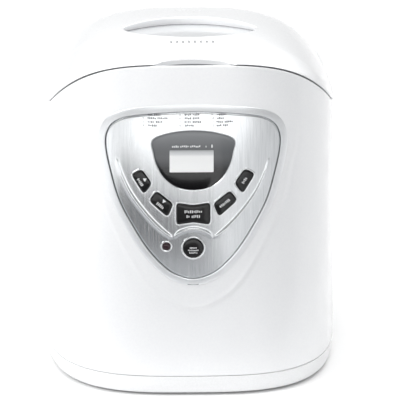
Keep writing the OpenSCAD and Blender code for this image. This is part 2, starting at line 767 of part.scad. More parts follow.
module lid_shell() {
    n = len(dome_shares);
    outer = [for (s = dome_shares) dome_ring(s, 0, 0)];
    inner = [for (i = [n - 1:-1:1]) dome_ring(dome_shares[i], lid_t, -lid_t)];
    color("white") difference() {
        union() {
            ring_cap([0, 0, dome_z(0, 0) - lid_t],
                concat(inner, [seam_ring(lid_t, seam_gap), seam_ring(0, seam_gap)], outer),
                [0, 0, dome_z(0, 0)]);
            intersection() {
                scoop_cone(scoop_wall);
                translate([0, 0, scoop_low_z - 1]) linear_extrude(30)
                    polygon(plan_loop(scoop_low_z, wall + 0.6));
                dome_front_block();
            }
            for (sx = [-1, 1]) {
                rod_x(hinge_y, hinge_z, hinge_r, sx * hinge_x - hinge_len / 2, sx * hinge_x + hinge_len / 2);
                translate([sx * hinge_x - hinge_len / 2, 163.8, hinge_z + 0.6]) cube([hinge_len, 6.5, 3.4]);
            }
            for (sx = [-1, 1]) for (y = lid_post_y) translate([sx * lid_post_x, y, lid_post_z])
                cylinder(r = 4, h = dome_z(lid_post_x + 4, y) - 1 - lid_post_z);
        }
        scoop_cone(0);
        window_prism(2.4);
        for (i = [-3.5:3.5]) translate([i * vent_pitch, vent_y, 325]) cube([2, 7, 30], center = true);
        for (i = [-2:2]) translate([i * rear_vent_pitch, rear_vent_y, 280]) cylinder(r = 1.3, h = 40);
        for (sx = [-1, 1]) {
            rod_x(hinge_y, hinge_z, pin_r + running, sx * hinge_x - 10, sx * hinge_x + 10);
            for (dx = [-1, 1]) translate([sx * hinge_x + dx * (hinge_len + hinge_lug + 1) / 2, 170, 256.5])
                cube([hinge_lug + 1, 16, 12], center = true);
        }
        for (sx = [-1, 1]) for (y = lid_post_y) translate([sx * lid_post_x, y, lid_post_z - 1])
            cylinder(r = 1.55, h = 16);
    }
}

module window_frame() {
    color("white") intersection() {
        difference() {
            window_prism(2.2);
            window_prism(0);
        }
        glass_slab(0.2, 40);
        dome_solid();
    }
}

module window_glass() {
    color([0.8, 0.85, 0.88, 0.4]) intersection() {
        window_prism(3.5);
        glass_slab(-glass_t, 0);
    }
}

module window_gasket() {
    color("gray") intersection() {
        difference() {
            window_prism(3);
            window_prism(-2);
        }
        glass_slab(-glass_t - 2.1, -glass_t - 0.1);
    }
}

liner_half_w = 96;
liner_half_d = 99;
liner_low = 255;
liner_t = 1.5;
// Block under the lid with a sloping roof and shoulders at the sides
module liner_block(inset, low) {
    drop = inset * 1.1;
    difference() {
        round_block(liner_half_w - inset, liner_half_d - inset, 24 - inset, low, 330 - low);
        along_x(150) polygon([[-150, 319 - drop], [20, 299.2 - drop], [150, 251.2 - drop],
            [150, 400], [-150, 400]]);
        for (sx = [-1, 1]) translate([sx * 70, 0, 308 - drop * 1.35]) rotate([0, sx * 41.6, 0])
            translate([sx * 75 - 75, -160, 0]) cube([150, 320, 60]);
        along_x(150) polygon([[-88, low - 1], [-88, low], [-120, low + 24], [-150, low + 24],
            [-150, low - 1]]);
    }
}

module lid_liner() {
    color("gainsboro") difference() {
        union() {
            liner_block(0, liner_low);
            for (sx = [-1, 1]) for (y = lid_post_y) translate([sx * 102, y, lid_post_z - 0.75])
                cube([14, 14, 1.5], center = true);
        }
        liner_block(liner_t, liner_low - 5);
        window_prism(-3);
        for (sx = [-1, 1]) for (y = lid_post_y) translate([sx * lid_post_x, y, 250])
            cylinder(r = 1.7, h = 12);
    }
}

module lid_screws() {
    color("silver") for (sx = [-1, 1]) for (y = lid_post_y) translate([sx * lid_post_x, y, 0]) {
        translate([0, 0, lid_post_z - 3.3]) cylinder(r = 3.2, h = 1.8);
        translate([0, 0, lid_post_z - 2]) cylinder(r = 1.5, h = 14);
    }
}

// ---------- bread pan ----------
ear_w = 4;
module bread_pan() {
    color([0.25, 0.25, 0.27]) difference() {
        union() {
            round_block(pan_half_w, pan_half_d, pan_r, pan_z, pan_rim_z - pan_z);
            round_block(pan_half_w + 3, pan_half_d + 3, pan_r + 3, pan_rim_z - 1.5, 1.5);
            for (x = [-pan_half_w - ear_w, pan_half_w]) translate([x, chamber_y - 5, handle_z - 7])
                cube([ear_w, 10, pan_rim_z - handle_z + 5.5]);
        }
        round_block(pan_half_w - pan_t, pan_half_d - pan_t, pan_r - pan_t, pan_z + pan_t, pan_rim_z);
        translate([0, chamber_y, pan_z - 1]) cylinder(r = 9, h = 4);
        for (x = [-pan_half_w - ear_w - 1, pan_half_w])
            rod_x(chamber_y, handle_z, handle_wire + running, x, x + ear_w + 1);
    }
}

module pan_base_ring() {
    color("silver") translate([0, chamber_y, 0]) {
        tube(46, 43, pan_z - 14, 14);
        difference() {
            tube(44, 13, pan_z - 2, 2);
            for (a = [45:90:315]) rotate(a) translate([28, 0, pan_z - 5]) cylinder(r = 8, h = 8);
        }
    }
}

module shaft_bush() {
    color("peru") translate([0, chamber_y, 0]) {
        tube(13, shaft_r + running, pan_z - 8, 8);
        tube(9, shaft_r + running, pan_z, 6);
    }
}

module pan_shaft() {
    color("silver") translate([0, chamber_y, 68]) cylinder(r = shaft_r, h = 40);
}

module wing_coupling() {
    color("dimgray") translate([0, chamber_y, 0]) {
        tube(6.5, shaft_r, 68, 9);
        difference() {
            translate([-13, -2.5, 68]) cube([26, 5, 5]);
            translate([0, 0, 60]) cylinder(r = 5, h = 20);
        }
    }
}

module kneading_paddle() {
    low = pan_z + 7;
    color([0.22, 0.22, 0.24]) translate([0, chamber_y, low]) difference() {
        union() {
            cylinder(r = 8, h = 15);
            rotate([90, 0, 0]) translate([0, 0, -2.5]) linear_extrude(5)
                polygon([[5, 0], [36, 0], [38, 6], [36, 24], [30, 31], [20, 28], [7, 15], [5, 15]]);
        }
        translate([0, 0, -1]) cylinder(r = shaft_r + 0.1, h = 40);
    }
}

// Straight wire between two points of one plane of constant x
module wire(x, y0, z0, y1, z1) {
    translate([x, y0, z0]) rotate([-atan2(y1 - y0, z1 - z0), 0, 0])
        cylinder(r = handle_wire, h = norm([y1 - y0, z1 - z0]));
}

module pan_handle() {
    grip_y = chamber_y - sqrt(handle_arm * handle_arm - handle_rise * handle_rise);
    grip_z = handle_z + handle_rise;
    color("silver") {
        for (sx = [-1, 1]) {
            wire(sx * handle_x, chamber_y, handle_z, grip_y, grip_z);
            translate([sx * handle_x, chamber_y, handle_z]) sphere(r = handle_wire + 0.4);
            translate([sx * handle_x, grip_y, grip_z]) sphere(r = handle_wire + 0.4);
        }
        rod_x(chamber_y, handle_z, handle_wire, pan_half_w + 0.3, handle_x);
        rod_x(chamber_y, handle_z, handle_wire, -handle_x, -pan_half_w - 0.3);
        rod_x(grip_y, grip_z, handle_wire, -handle_x, handle_x);
        rod_x(grip_y, grip_z, 3.6, -30, 30);
    }
}

outer_housing();
base_pan();
rubber_feet();
base_screws();
chassis_plate();
chassis_spacers();
oven_chamber();
chamber_deck();
heating_element();
element_insulators();
element_supports();
temperature_sensor();
thermal_fuse();
pan_socket();
bearing_housing();
sleeve_bearings();
drive_shaft();
drive_coupling();
large_pulley();
drive_belt();
motor();
motor_bracket();
motor_screws();
motor_shaft();
small_pulley();
power_board();
transformer();
capacitor();
ribbon_cable();
cord_gland();
hinge_pins();
panel_carrier();
panel_bezel();
fascia_plate();
display_lens();
lcd_module();
control_board();
board_screws();
tact_switches();
buzzer();
indicator_lens();
button_time_up();
button_time_down();
button_size();
button_options();
button_colour();
button_start();
lid_shell();
window_frame();
window_glass();
window_gasket();
lid_liner();
lid_screws();
bread_pan();
pan_base_ring();
shaft_bush();
pan_handle();
pan_shaft();
wing_coupling();
kneading_paddle();
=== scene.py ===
"""Looks for the countertop bread machine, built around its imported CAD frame."""
import math
import random

import bmesh
import bpy
import numpy as np
from mathutils import Matrix, Vector


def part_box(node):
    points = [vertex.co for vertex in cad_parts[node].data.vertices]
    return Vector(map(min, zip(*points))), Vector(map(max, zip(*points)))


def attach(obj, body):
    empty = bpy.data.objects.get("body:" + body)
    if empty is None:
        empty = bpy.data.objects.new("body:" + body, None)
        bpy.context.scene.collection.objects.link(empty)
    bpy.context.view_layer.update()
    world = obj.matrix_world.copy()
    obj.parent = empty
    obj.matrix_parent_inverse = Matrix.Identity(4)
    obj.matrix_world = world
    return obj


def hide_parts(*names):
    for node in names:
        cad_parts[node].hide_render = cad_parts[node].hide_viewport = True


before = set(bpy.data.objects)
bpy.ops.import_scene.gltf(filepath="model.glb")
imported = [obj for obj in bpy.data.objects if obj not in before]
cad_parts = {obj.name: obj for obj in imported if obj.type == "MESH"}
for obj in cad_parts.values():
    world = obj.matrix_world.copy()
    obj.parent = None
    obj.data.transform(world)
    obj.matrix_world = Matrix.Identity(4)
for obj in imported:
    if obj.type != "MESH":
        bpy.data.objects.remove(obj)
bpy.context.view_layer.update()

MM = 0.001
TAU = 2 * math.pi

# Body, in millimetres
HALF_W, HALF_D, POWER = 135.0, 170.0, 3.13
FLARE, REF_Z, WALL = 3.0, 250.0, 2.6
EDGE_H, EDGE_INSET, EDGE_POWER, FOOT_GAP = 25.0, 6.9, 3.8, 2.0
BASE_SEAM = 20.0
SIDE_SEAM = 256.0
SEAM_BASE, SEAM_RISE = 240.0, 78.6
TOP_Z, RIDGE_Y = 327.0, -110.0
LID_T = 2.6
WINDOW_Y = -25.0
WINDOW_HALF_W, WINDOW_REAR, WINDOW_FRONT = 62.0, 42.0, 76.0
GLASS_Z, GLASS_Y, GLASS_SLOPE, GLASS_T = 319.0, -101.0, 0.1186, 3.0
SCOOP_Y, SCOOP_Z, SCOOP_R, SCOOP_LEAN = -221.5, 323.0, 68.5, 7 / 12
VENT_Y, VENT_PITCH = -118.6, 5.44
HINGE_X, HINGE_Y, HINGE_Z = 45.0, 170.3, 256.3
PAN_Y, PAN_FLOOR, PIVOT_Z = 5.0, 86.0, 228.0
# Points used to measure an outline before it is thinned out
FINE = 720

# How far the swell round the panel stands out of the housing's face
SWELL = 1.2


# ---------------------------------------------------------------- shape formulas
def tuck(z):
    """How far the wall draws in towards the rounded foot."""
    lift = np.clip(1 - (z - FOOT_GAP) / (EDGE_H - FOOT_GAP), 0, 1)
    return EDGE_INSET * (1 - np.sqrt(1 - lift ** EDGE_POWER))


def half_w(z, off=0.0):
    return HALF_W + FLARE * (REF_Z - z) / REF_Z - tuck(z) - off


def half_d(z, off=0.0):
    return HALF_D + FLARE * (REF_Z - z) / REF_Z - tuck(z) - off


def plan(t, a, b):
    """Near-oval plan outline, from the middle of the front."""
    s, c = np.sin(t), np.cos(t)
    return (a * np.sign(s) * np.abs(s) ** (2 / POWER),
            -b * np.sign(c) * np.abs(c) ** (2 / POWER))


def seam_z(x, y):
    """Height of the joint between lid and housing."""
    rise = SEAM_BASE + SEAM_RISE * (1 - np.minimum(np.abs(x) / HALF_W, 1) ** 3.6) ** (1 / 1.6)
    return np.where(y > 0, SIDE_SEAM, np.maximum(SIDE_SEAM, rise))


def plan_share(x, y):
    share = (np.abs(x) / HALF_W) ** POWER + (np.abs(y) / HALF_D) ** POWER
    return np.minimum(1, share ** (1 / POWER))


def dome_z(x, y):
    """Height of the lid's outer surface."""
    front = TOP_Z - 7.5 * ((RIDGE_Y - y) / 60) ** 2
    rear = TOP_Z - 43 * (np.clip(y - RIDGE_Y, 0, None) / 280) ** 1.35
    ridge = np.where(y < RIDGE_Y, front, rear)
    w = np.clip(plan_share(x, y) - 0.6, 0, None) / 0.4
    roll = 22 * (1 - np.sqrt(np.clip(1 - w * w, 0, 1))) * np.clip((y + 30) / 120, 0, 1)
    side = (1 - np.minimum(np.abs(x) / HALF_W, 1) ** 3) ** (1 / 1.75)
    raw = 246 + (ridge - 246) * side - roll
    low = seam_z(x, y) + 2 - 120 * (1 - plan_share(x, y))
    return (raw + low + np.sqrt((raw - low) ** 2 + 4)) / 2


def smooth_step(v):
    v = np.clip(v, 0, 1)
    return v * v * (3 - 2 * v)


def body_y(x, z):
    """Front face of the plain housing."""
    inside = 1 - np.minimum(np.abs(x) / half_w(z), 1) ** POWER
    return -half_d(z) * inside ** (1 / POWER)


# ---------------------------------------------------------------- outlines, as (x, z)
def whole(half):
    half = [list(p) for p in half]
    return np.array(half + [[-x, z] for x, z in half[-2:0:-1]], float)


def curve(points, steps, closed=True):
    """Catmull-Rom curve through the points."""
    pts = np.asarray(points, float)
    n = len(pts)
    out = []
    for i in range(n if closed else n - 1):
        if closed:
            a, b, c, d = (pts[(i + k) % n] for k in (-1, 0, 1, 2))
        else:
            a, b, c, d = (pts[min(max(i + k, 0), n - 1)] for k in (-1, 0, 1, 2))
        for s in range(steps):
            t = s / steps
            out.append(0.5 * (2 * b + (c - a) * t + (2 * a - 5 * b + 4 * c - d) * t * t
                              + (3 * b - a - 3 * c + d) * t ** 3))
    if not closed:
        out.append(pts[-1])
    return np.array(out)


def resample(loop, count):
    """Closed loop as evenly spaced points."""
    ring = np.vstack([loop, loop[:1]])
    length = np.concatenate([[0], np.cumsum(np.linalg.norm(np.diff(ring, axis=0), axis=1))])
    at = np.arange(count) * length[-1] / count
    return np.stack([np.interp(at, length, ring[:, k]) for k in range(loop.shape[1])], -1)


def grow(loop, d):
    """Moves a clockwise loop outwards by d."""
    step = np.roll(loop, -1, 0) - np.roll(loop, 1, 0)
    step /= np.linalg.norm(step, axis=1)[:, None]
    return loop + d * np.stack([-step[:, 1], step[:, 0]], -1)


def soften(loop, radius, count=96):
    """Rounds the corners of a polygon by averaging along its outline."""
    fine = resample(np.asarray(loop, float), FINE)
    edge = np.linalg.norm(np.diff(np.vstack([fine, fine[:1]]), axis=0), axis=1).sum()
    reach = max(1, int(radius / edge * FINE))
    for _ in range(2):
        fine = sum(np.roll(fine, k, 0) for k in range(-reach, reach + 1)) / (2 * reach + 1)
    return resample(fine, count)


def mirrored(loop):
    return np.array([[-x, z] for x, z in loop[::-1]])


PANEL = curve(whole([[0, 282.8], [34, 281.2], [62, 277], [77.5, 268.5], [85, 255], [86, 240],
                     [82.5, 220], [74, 189.5], [60, 162], [44.5, 138], [27, 120], [12.5, 112.3],
                     [0, 110]]), 12)
LENS = curve(whole([[0, 258], [20, 256], [36.5, 249.5], [36, 238], [33, 226], [26, 213.5],
                    [14, 204.5], [0, 202]]), 8)
SWELL_EDGE = curve(whole([[0, 306], [45, 303], [80, 292], [96, 270], [98, 245], [92.5, 219],
                          [85.5, 187], [72.5, 155.5], [59, 130], [41.4, 105], [21.7, 90.5],
                          [0, 84]]), 12)
UP_KEY = [[-45, 198.7], [-55.7, 216.3], [-47.2, 221.5], [-38, 208.5]]
DOWN_KEY = [[-23.5, 177.3], [-39.7, 192.2], [-33.4, 201.1], [-18.7, 189]]
SIZE_KEY = [[-14.9, 189.7], [0, 187.4], [14.9, 189.7], [14.9, 169.8], [0, 172.2], [-14.9, 169.8]]
KEYS = {
    "time_up": soften(UP_KEY, 2.6), "time_down": soften(DOWN_KEY, 2.6),
    "size": soften(SIZE_KEY, 2.2), "options": soften(mirrored(DOWN_KEY), 2.6),
    "colour": soften(mirrored(UP_KEY), 2.6),
}
START_Z, START_R = 146.7, 9.0
LED_X, LED_Z, LED_R = -24.5, 148.2, 4.0
LCD_X, LCD_Z, LCD_HALF_W, LCD_HALF_H = -1.5, 229.5, 20.0, 10.4
PANEL_MID = 200.0
BEZEL_W = 6.4
PLATE_CROWN, PLATE_LIFT = 1.2, 0.45
# Depths between which a hole through the face is cut, and where a key's stem starts
FACE_CUT = (-195, -130)
STEM_FRONT = 168.0


def circle(x, z, r, count=64):
    t = -np.arange(count) * TAU / count
    return np.stack([x + r * np.cos(t), z + r * np.sin(t)], -1)


def polar_radius(loop, x, z):
    """Distance from the panel's middle to the loop in the direction of each point."""
    a = np.arctan2(loop[:, 0], loop[:, 1] - PANEL_MID)
    r = np.hypot(loop[:, 0], loop[:, 1] - PANEL_MID)
    order = np.argsort(a)
    return np.interp(np.arctan2(x, z - PANEL_MID), a[order], r[order], period=TAU)


def swell(x, z):
    """How far the raised field round the panel stands out at each point."""
    r = np.hypot(x, z - PANEL_MID)
    outer, inner = polar_radius(SWELL_EDGE, x, z), polar_radius(PANEL, x, z)
    across = np.clip((outer - r) / np.maximum(outer - inner, 1), 0, 1)
    fade = 1 - smooth_step((z - 195) / 70)
    step = smooth_step((outer - r) / 4.5)
    bead = 0.45 * np.exp(-((outer - r - 4.2) / 2.0) ** 2)
    return (SWELL * (0.62 * step + 0.38 * across) + bead * (r < outer)) * fade + \
        SWELL * (1 - fade) * smooth_step(across)


def skin_y(x, z):
    """Front face of the housing with its swell; constant inside the panel's outline."""
    return body_y(x, z) - swell(x, z)


# ---------------------------------------------------------------- mesh helpers
def loft(rows, wrap=False, first=None, last=None):
    """Faces through rings of equally many points; first and last close the ends."""
    rows = np.asarray(rows, float)
    m, n = rows.shape[:2]
    points = rows.reshape(-1, 3).tolist()
    index = np.arange(m * n).reshape(m, n)
    if wrap:
        index = np.vstack([index, index[:1]])
    a, b = index[:-1], index[1:]
    quads = np.stack([a, np.roll(a, -1, 1), np.roll(b, -1, 1), b], -1)
    faces = quads.reshape(-1, 4).tolist()
    for end, ring, flip in ((first, index[0], True), (last, index[-1], False)):
        if end is None:
            continue
        points.append(list(end))
        tip = len(points) - 1
        for i in range(n):
            j = (i + 1) % n
            pair = (int(ring[j]), int(ring[i])) if flip else (int(ring[i]), int(ring[j]))
            faces.append([tip, *pair])
    return points, faces


def raw_object(name, points, faces):
    mesh = bpy.data.meshes.new(name)
    mesh.from_pydata((np.asarray(points, float) * MM).tolist(), [], faces)
    bm = bmesh.new()
    bm.from_mesh(mesh)
    bmesh.ops.recalc_face_normals(bm, faces=bm.faces)
    bm.to_mesh(mesh)
    bm.free()
    obj = bpy.data.objects.new(name, mesh)
    bpy.context.scene.collection.objects.link(obj)
    return obj


def merged(name, parts):
    """One object from several (points, faces) shapes."""
    points, faces = [], []
    for pts, fcs in parts:
        base = len(points)
        points += [list(p) for p in pts]
        faces += [[base + i for i in f] for f in fcs]
    return raw_object(name, points, faces)


def applied(obj):
    graph = bpy.context.evaluated_depsgraph_get()
    mesh = bpy.data.meshes.new_from_object(obj.evaluated_get(graph))
    obj.modifiers.clear()
    old = obj.data
    obj.data = mesh
    bpy.data.meshes.remove(old)
    return obj


def combine(obj, parts, operation="DIFFERENCE"):
    tool = merged("tool", parts)
    mod = obj.modifiers.new("combine", "BOOLEAN")
    mod.operation, mod.object, mod.solver = operation, tool, "MANIFOLD"
    applied(obj)
    bpy.data.objects.remove(tool)
    return obj


def prism_y(loop, y0, y1):
    """Closed block whose outline is (x, z)."""
    rows = [[[x, y, z] for x, z in loop] for y in (y0, y1)]
    cx, cz = np.mean(loop, axis=0)
    return loft(rows, first=[cx, y0, cz], last=[cx, y1, cz])


def prism_z(loop, z0, z1):
    """Closed block whose outline is (x, y)."""
    rows = [[[x, y, z] for x, y in loop] for z in (z0, z1)]
    cx, cy = np.mean(loop, axis=0)
    return loft(rows, first=[cx, cy, z0], last=[cx, cy, z1])


def turned(profile, centre, axis="z", count=64):
    """Closed solid of revolution from (radius, height) points, radius 0 at both ends left out."""
    t = np.arange(count) * TAU / count
    rows = []
    for r, h in profile:
        c, s = r * np.cos(t), r * np.sin(t)
        h = np.full(count, float(h))
        ring = {"z": (c, s, h), "y": (c, -h, s), "x": (h, c, s)}[axis]
        rows.append(np.stack(ring, -1) + np.asarray(centre, float))
    ends = []
    for h in (profile[0][1], profile[-1][1]):
        tip = {"z": (0, 0, h), "y": (0, -h, 0), "x": (h, 0, 0)}[axis]
        ends.append(np.asarray(centre, float) + tip)
    return loft(rows, first=ends[0], last=ends[1])


def tube_along(path, radius, count=16):
    """Round bar along a path, closed with flat ends."""
    path = np.asarray(path, float)
    n = len(path)
    radius = np.full(n, radius) if np.isscalar(radius) else np.asarray(radius)
    rows, side = [], None
    for i in range(n):
        a, b = path[max(i - 1, 0)], path[min(i + 1, n - 1)]
        along = (b - a) / np.linalg.norm(b - a)
        if side is None:
            side = np.cross(along, [0.2, 0.3, 0.93])
        side = side - along * np.dot(side, along)
        side /= np.linalg.norm(side)
        other = np.cross(along, side)
        t = np.arange(count) * TAU / count
        rows.append(path[i] + radius[i] * (np.cos(t)[:, None] * side + np.sin(t)[:, None] * other))
    return loft(rows, first=path[0], last=path[-1])


def finish(obj, body, material, nodes=(), sharp=35.0):
    """Shades the piece, gives it its material and ties it to its body."""
    mesh = obj.data
    mesh.shade_smooth()
    mesh.set_sharp_from_angle(angle=math.radians(sharp))
    mesh.materials.clear()
    mesh.materials.append(material)
    if nodes:
        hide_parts(*nodes)
    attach(obj, body)


# ---------------------------------------------------------------- materials
def linear(value):
    return value / 12.92 if value <= 0.04045 else ((value + 0.055) / 1.055) ** 2.4


def srgb(r, g, b):
    return (linear(r / 255), linear(g / 255), linear(b / 255), 1.0)


def new_material(name):
    mat = bpy.data.materials.new(name)
    mat.use_nodes = True
    return mat, mat.node_tree, mat.node_tree.nodes["Principled BSDF"]


def add_node(tree, kind, links=(), **values):
    node = tree.nodes.new(kind)
    for key, value in values.items():
        if key in node.inputs:
            node.inputs[key].default_value = value
        else:
            setattr(node, key, value)
    for socket, source in links:
        tree.links.new(source, node.inputs[socket])
    return node


def coordinates(tree, scale=(1, 1, 1)):
    place = add_node(tree, "ShaderNodeTexCoord")
    mapping = add_node(tree, "ShaderNodeMapping", [("Vector", place.outputs["Object"])])
    mapping.inputs["Scale"].default_value = scale
    return mapping.outputs["Vector"]


def ramp(tree, source, stops, interpolation="LINEAR"):
    """Colour ramp; each stop is a position and an sRGB colour from 0 to 255."""
    node = add_node(tree, "ShaderNodeValToRGB", [("Fac", source)])
    node.color_ramp.interpolation = interpolation
    while len(node.color_ramp.elements) < len(stops):
        node.color_ramp.elements.new(0.5)
    for element, (place, colour) in zip(node.color_ramp.elements, stops):
        element.position, element.color = place, srgb(*colour)
    return node.outputs["Color"]


def speckled(name, colour, other, rough, metallic=0.0, scale=300.0, bump=0.03, grain=(1, 1, 1),
             coat=0.0, specular=0.5, rough_spread=0.05, bump_distance=0.0002, anisotropic=0.0):
    """Surface with fine variation of colour, roughness and relief."""
    mat, tree, shader = new_material(name)
    where = coordinates(tree, grain)
    noise = add_node(tree, "ShaderNodeTexNoise", [("Vector", where)], Scale=scale, Detail=4.0)
    colours = ramp(tree, noise.outputs["Fac"], [(0.3, colour), (0.7, other)])
    tree.links.new(colours, shader.inputs["Base Color"])
    spread = add_node(tree, "ShaderNodeMapRange", [("Value", noise.outputs["Fac"])])
    spread.inputs["To Min"].default_value = max(0.02, rough - rough_spread)
    spread.inputs["To Max"].default_value = rough + rough_spread
    tree.links.new(spread.outputs["Result"], shader.inputs["Roughness"])
    relief = add_node(tree, "ShaderNodeBump", [("Height", noise.outputs["Fac"])],
                      Strength=bump, Distance=bump_distance)
    tree.links.new(relief.outputs["Normal"], shader.inputs["Normal"])
    shader.inputs["Metallic"].default_value = metallic
    shader.inputs["Specular IOR Level"].default_value = specular
    shader.inputs["Coat Weight"].default_value = coat
    shader.inputs["Coat Roughness"].default_value = 0.05
    shader.inputs["Anisotropic"].default_value = anisotropic
    return mat


def graded(name, stops, low, high, rough, coat=0.0):
    """Colour that runs up the surface between two heights in millimetres."""
    mat, tree, shader = new_material(name)
    place = add_node(tree, "ShaderNodeTexCoord")
    parts = add_node(tree, "ShaderNodeSeparateXYZ", [("Vector", place.outputs["Object"])])
    span = add_node(tree, "ShaderNodeMapRange", [("Value", parts.outputs["Z"])])
    span.inputs["From Min"].default_value = low * MM
    span.inputs["From Max"].default_value = high * MM
    colours = ramp(tree, span.outputs["Result"], stops, "EASE")
    tree.links.new(colours, shader.inputs["Base Color"])
    noise = add_node(tree, "ShaderNodeTexNoise", [("Vector", place.outputs["Object"])], Scale=900.0)
    spread = add_node(tree, "ShaderNodeMapRange", [("Value", noise.outputs["Fac"])])
    spread.inputs["To Min"].default_value = rough * 0.8
    spread.inputs["To Max"].default_value = rough * 1.2
    tree.links.new(spread.outputs["Result"], shader.inputs["Roughness"])
    shader.inputs["Coat Weight"].default_value = coat
    return mat


WHITE = speckled("white_gloss", (240, 241, 243), (243, 244, 245), 0.2, scale=500,
                 bump=0.015, specular=0.5, coat=0.25)
WHITE_SATIN = speckled("white_satin", (236, 237, 238), (241, 242, 243), 0.34, scale=700,
                       bump=0.06)
LINER_WHITE = speckled("liner_white", (216, 218, 219), (222, 223, 224), 0.42, scale=900,
                       bump=0.1)
SATIN_SILVER = speckled("satin_silver", (222, 224, 226), (230, 232, 234), 0.34,
                        metallic=0.62, scale=1400, bump=0.05)
BRUSHED = speckled("brushed_plate", (206, 209, 211), (230, 232, 234), 0.24, metallic=1.0,
                   scale=60, grain=(26, 26, 0.35), bump=0.12, rough_spread=0.07,
                   bump_distance=0.00008, anisotropic=0.5)
KEY_SILVER = speckled("key_rim_silver", (226, 228, 230), (236, 238, 240), 0.2,
                      metallic=0.9, scale=900, bump=0.02)
KEY_BLACK = speckled("key_black", (9, 9, 10), (14, 14, 16), 0.2, scale=800, bump=0.02,
                     coat=0.2, specular=0.4)
MARK_WHITE = speckled("mark_white", (228, 230, 232), (240, 241, 242), 0.5, scale=900,
                      bump=0.02)
MARK_GREY = speckled("mark_grey", (36, 38, 42), (46, 48, 52), 0.5, scale=900, bump=0.02)
# Near-black colour of a painted shade: it stands for the shade inside a slot.
SLOT_PAINTED_SHADE = speckled("slot_painted_shade", (24, 24, 26), (34, 34, 36), 0.5, scale=500, bump=0.05)
# Black lens with a painted reflection: its colour turns lighter grey towards its top.
LENS_BLACK_PAINTED_REFLECTION = graded("lens_black", [(0.0, (4, 4, 5)), (0.3, (22, 23, 25)),
                                   (0.6, (84, 86, 89)), (1.0, (112, 115, 118))],
                    202, 257, 0.09, coat=0.3)
# Light grey screen with a painted shadow: darker towards its top edge, where the recess would shade
# it.
LCD_GREY_PAINTED_SHADOW = graded("lcd_grey", [(0.0, (248, 249, 249)), (0.7, (242, 243, 243)),
                               (0.86, (206, 208, 210)), (1.0, (172, 174, 176))],
                  LCD_Z - LCD_HALF_H, LCD_Z + LCD_HALF_H, 0.3)
LED_RED = speckled("led_red", (34, 12, 20), (46, 18, 28), 0.16, scale=500, bump=0.03,
                   coat=0.3, specular=0.4)
RUBBER = speckled("rubber_black", (36, 36, 37), (48, 48, 49), 0.75, scale=900, bump=0.25)
BLACK_PLASTIC = speckled("black_plastic", (34, 35, 37), (44, 45, 47), 0.45, scale=900,
                         bump=0.15)
ZINC = speckled("zinc_sheet", (168, 170, 173), (190, 192, 195), 0.34, metallic=1.0,
                scale=220, bump=0.05, rough_spread=0.1)
CHROME = speckled("bright_wire", (214, 216, 219), (224, 226, 228), 0.1, metallic=1.0,
                  scale=300, bump=0.01, rough_spread=0.03)
CHAMBER = speckled("chamber_steel", (176, 177, 176), (198, 199, 198), 0.3, metallic=1.0,
                   scale=120, grain=(1, 1, 0.1), bump=0.06, rough_spread=0.1)
NON_STICK = speckled("non_stick", (54, 54, 57), (70, 70, 73), 0.42, metallic=0.35,
                     scale=1500, bump=0.2, rough_spread=0.08)
CAST = speckled("cast_aluminium", (166, 167, 169), (186, 187, 189), 0.45, metallic=0.95,
                scale=800, bump=0.25, rough_spread=0.08)
SHEATH = speckled("element_sheath", (64, 62, 60), (92, 86, 80), 0.5, metallic=0.8,
                  scale=120, bump=0.1, rough_spread=0.1)
CERAMIC = speckled("ceramic", (226, 219, 204), (236, 230, 216), 0.5, scale=700, bump=0.1)
BRONZE = speckled("sintered_bronze", (170, 128, 82), (190, 148, 98), 0.45, metallic=0.95,
                  scale=900, bump=0.2)
MOTOR_GREY = speckled("motor_grey", (96, 102, 108), (108, 114, 120), 0.4, metallic=0.4,
                      scale=400, bump=0.08)
BOARD_GREEN = speckled("board_green", (30, 96, 62), (40, 112, 72), 0.35, scale=250,
                       bump=0.08)
BLUE_SLEEVE = speckled("blue_sleeve", (34, 70, 130), (42, 80, 142), 0.25, scale=300,
                       bump=0.03)
RIBBON_GREY = speckled("ribbon_grey", (150, 152, 156), (172, 174, 178), 0.5, scale=60,
                       grain=(1, 1, 30), bump=0.2)
SILICONE = speckled("silicone", (150, 152, 154), (160, 162, 164), 0.55, scale=700,
                    bump=0.1)


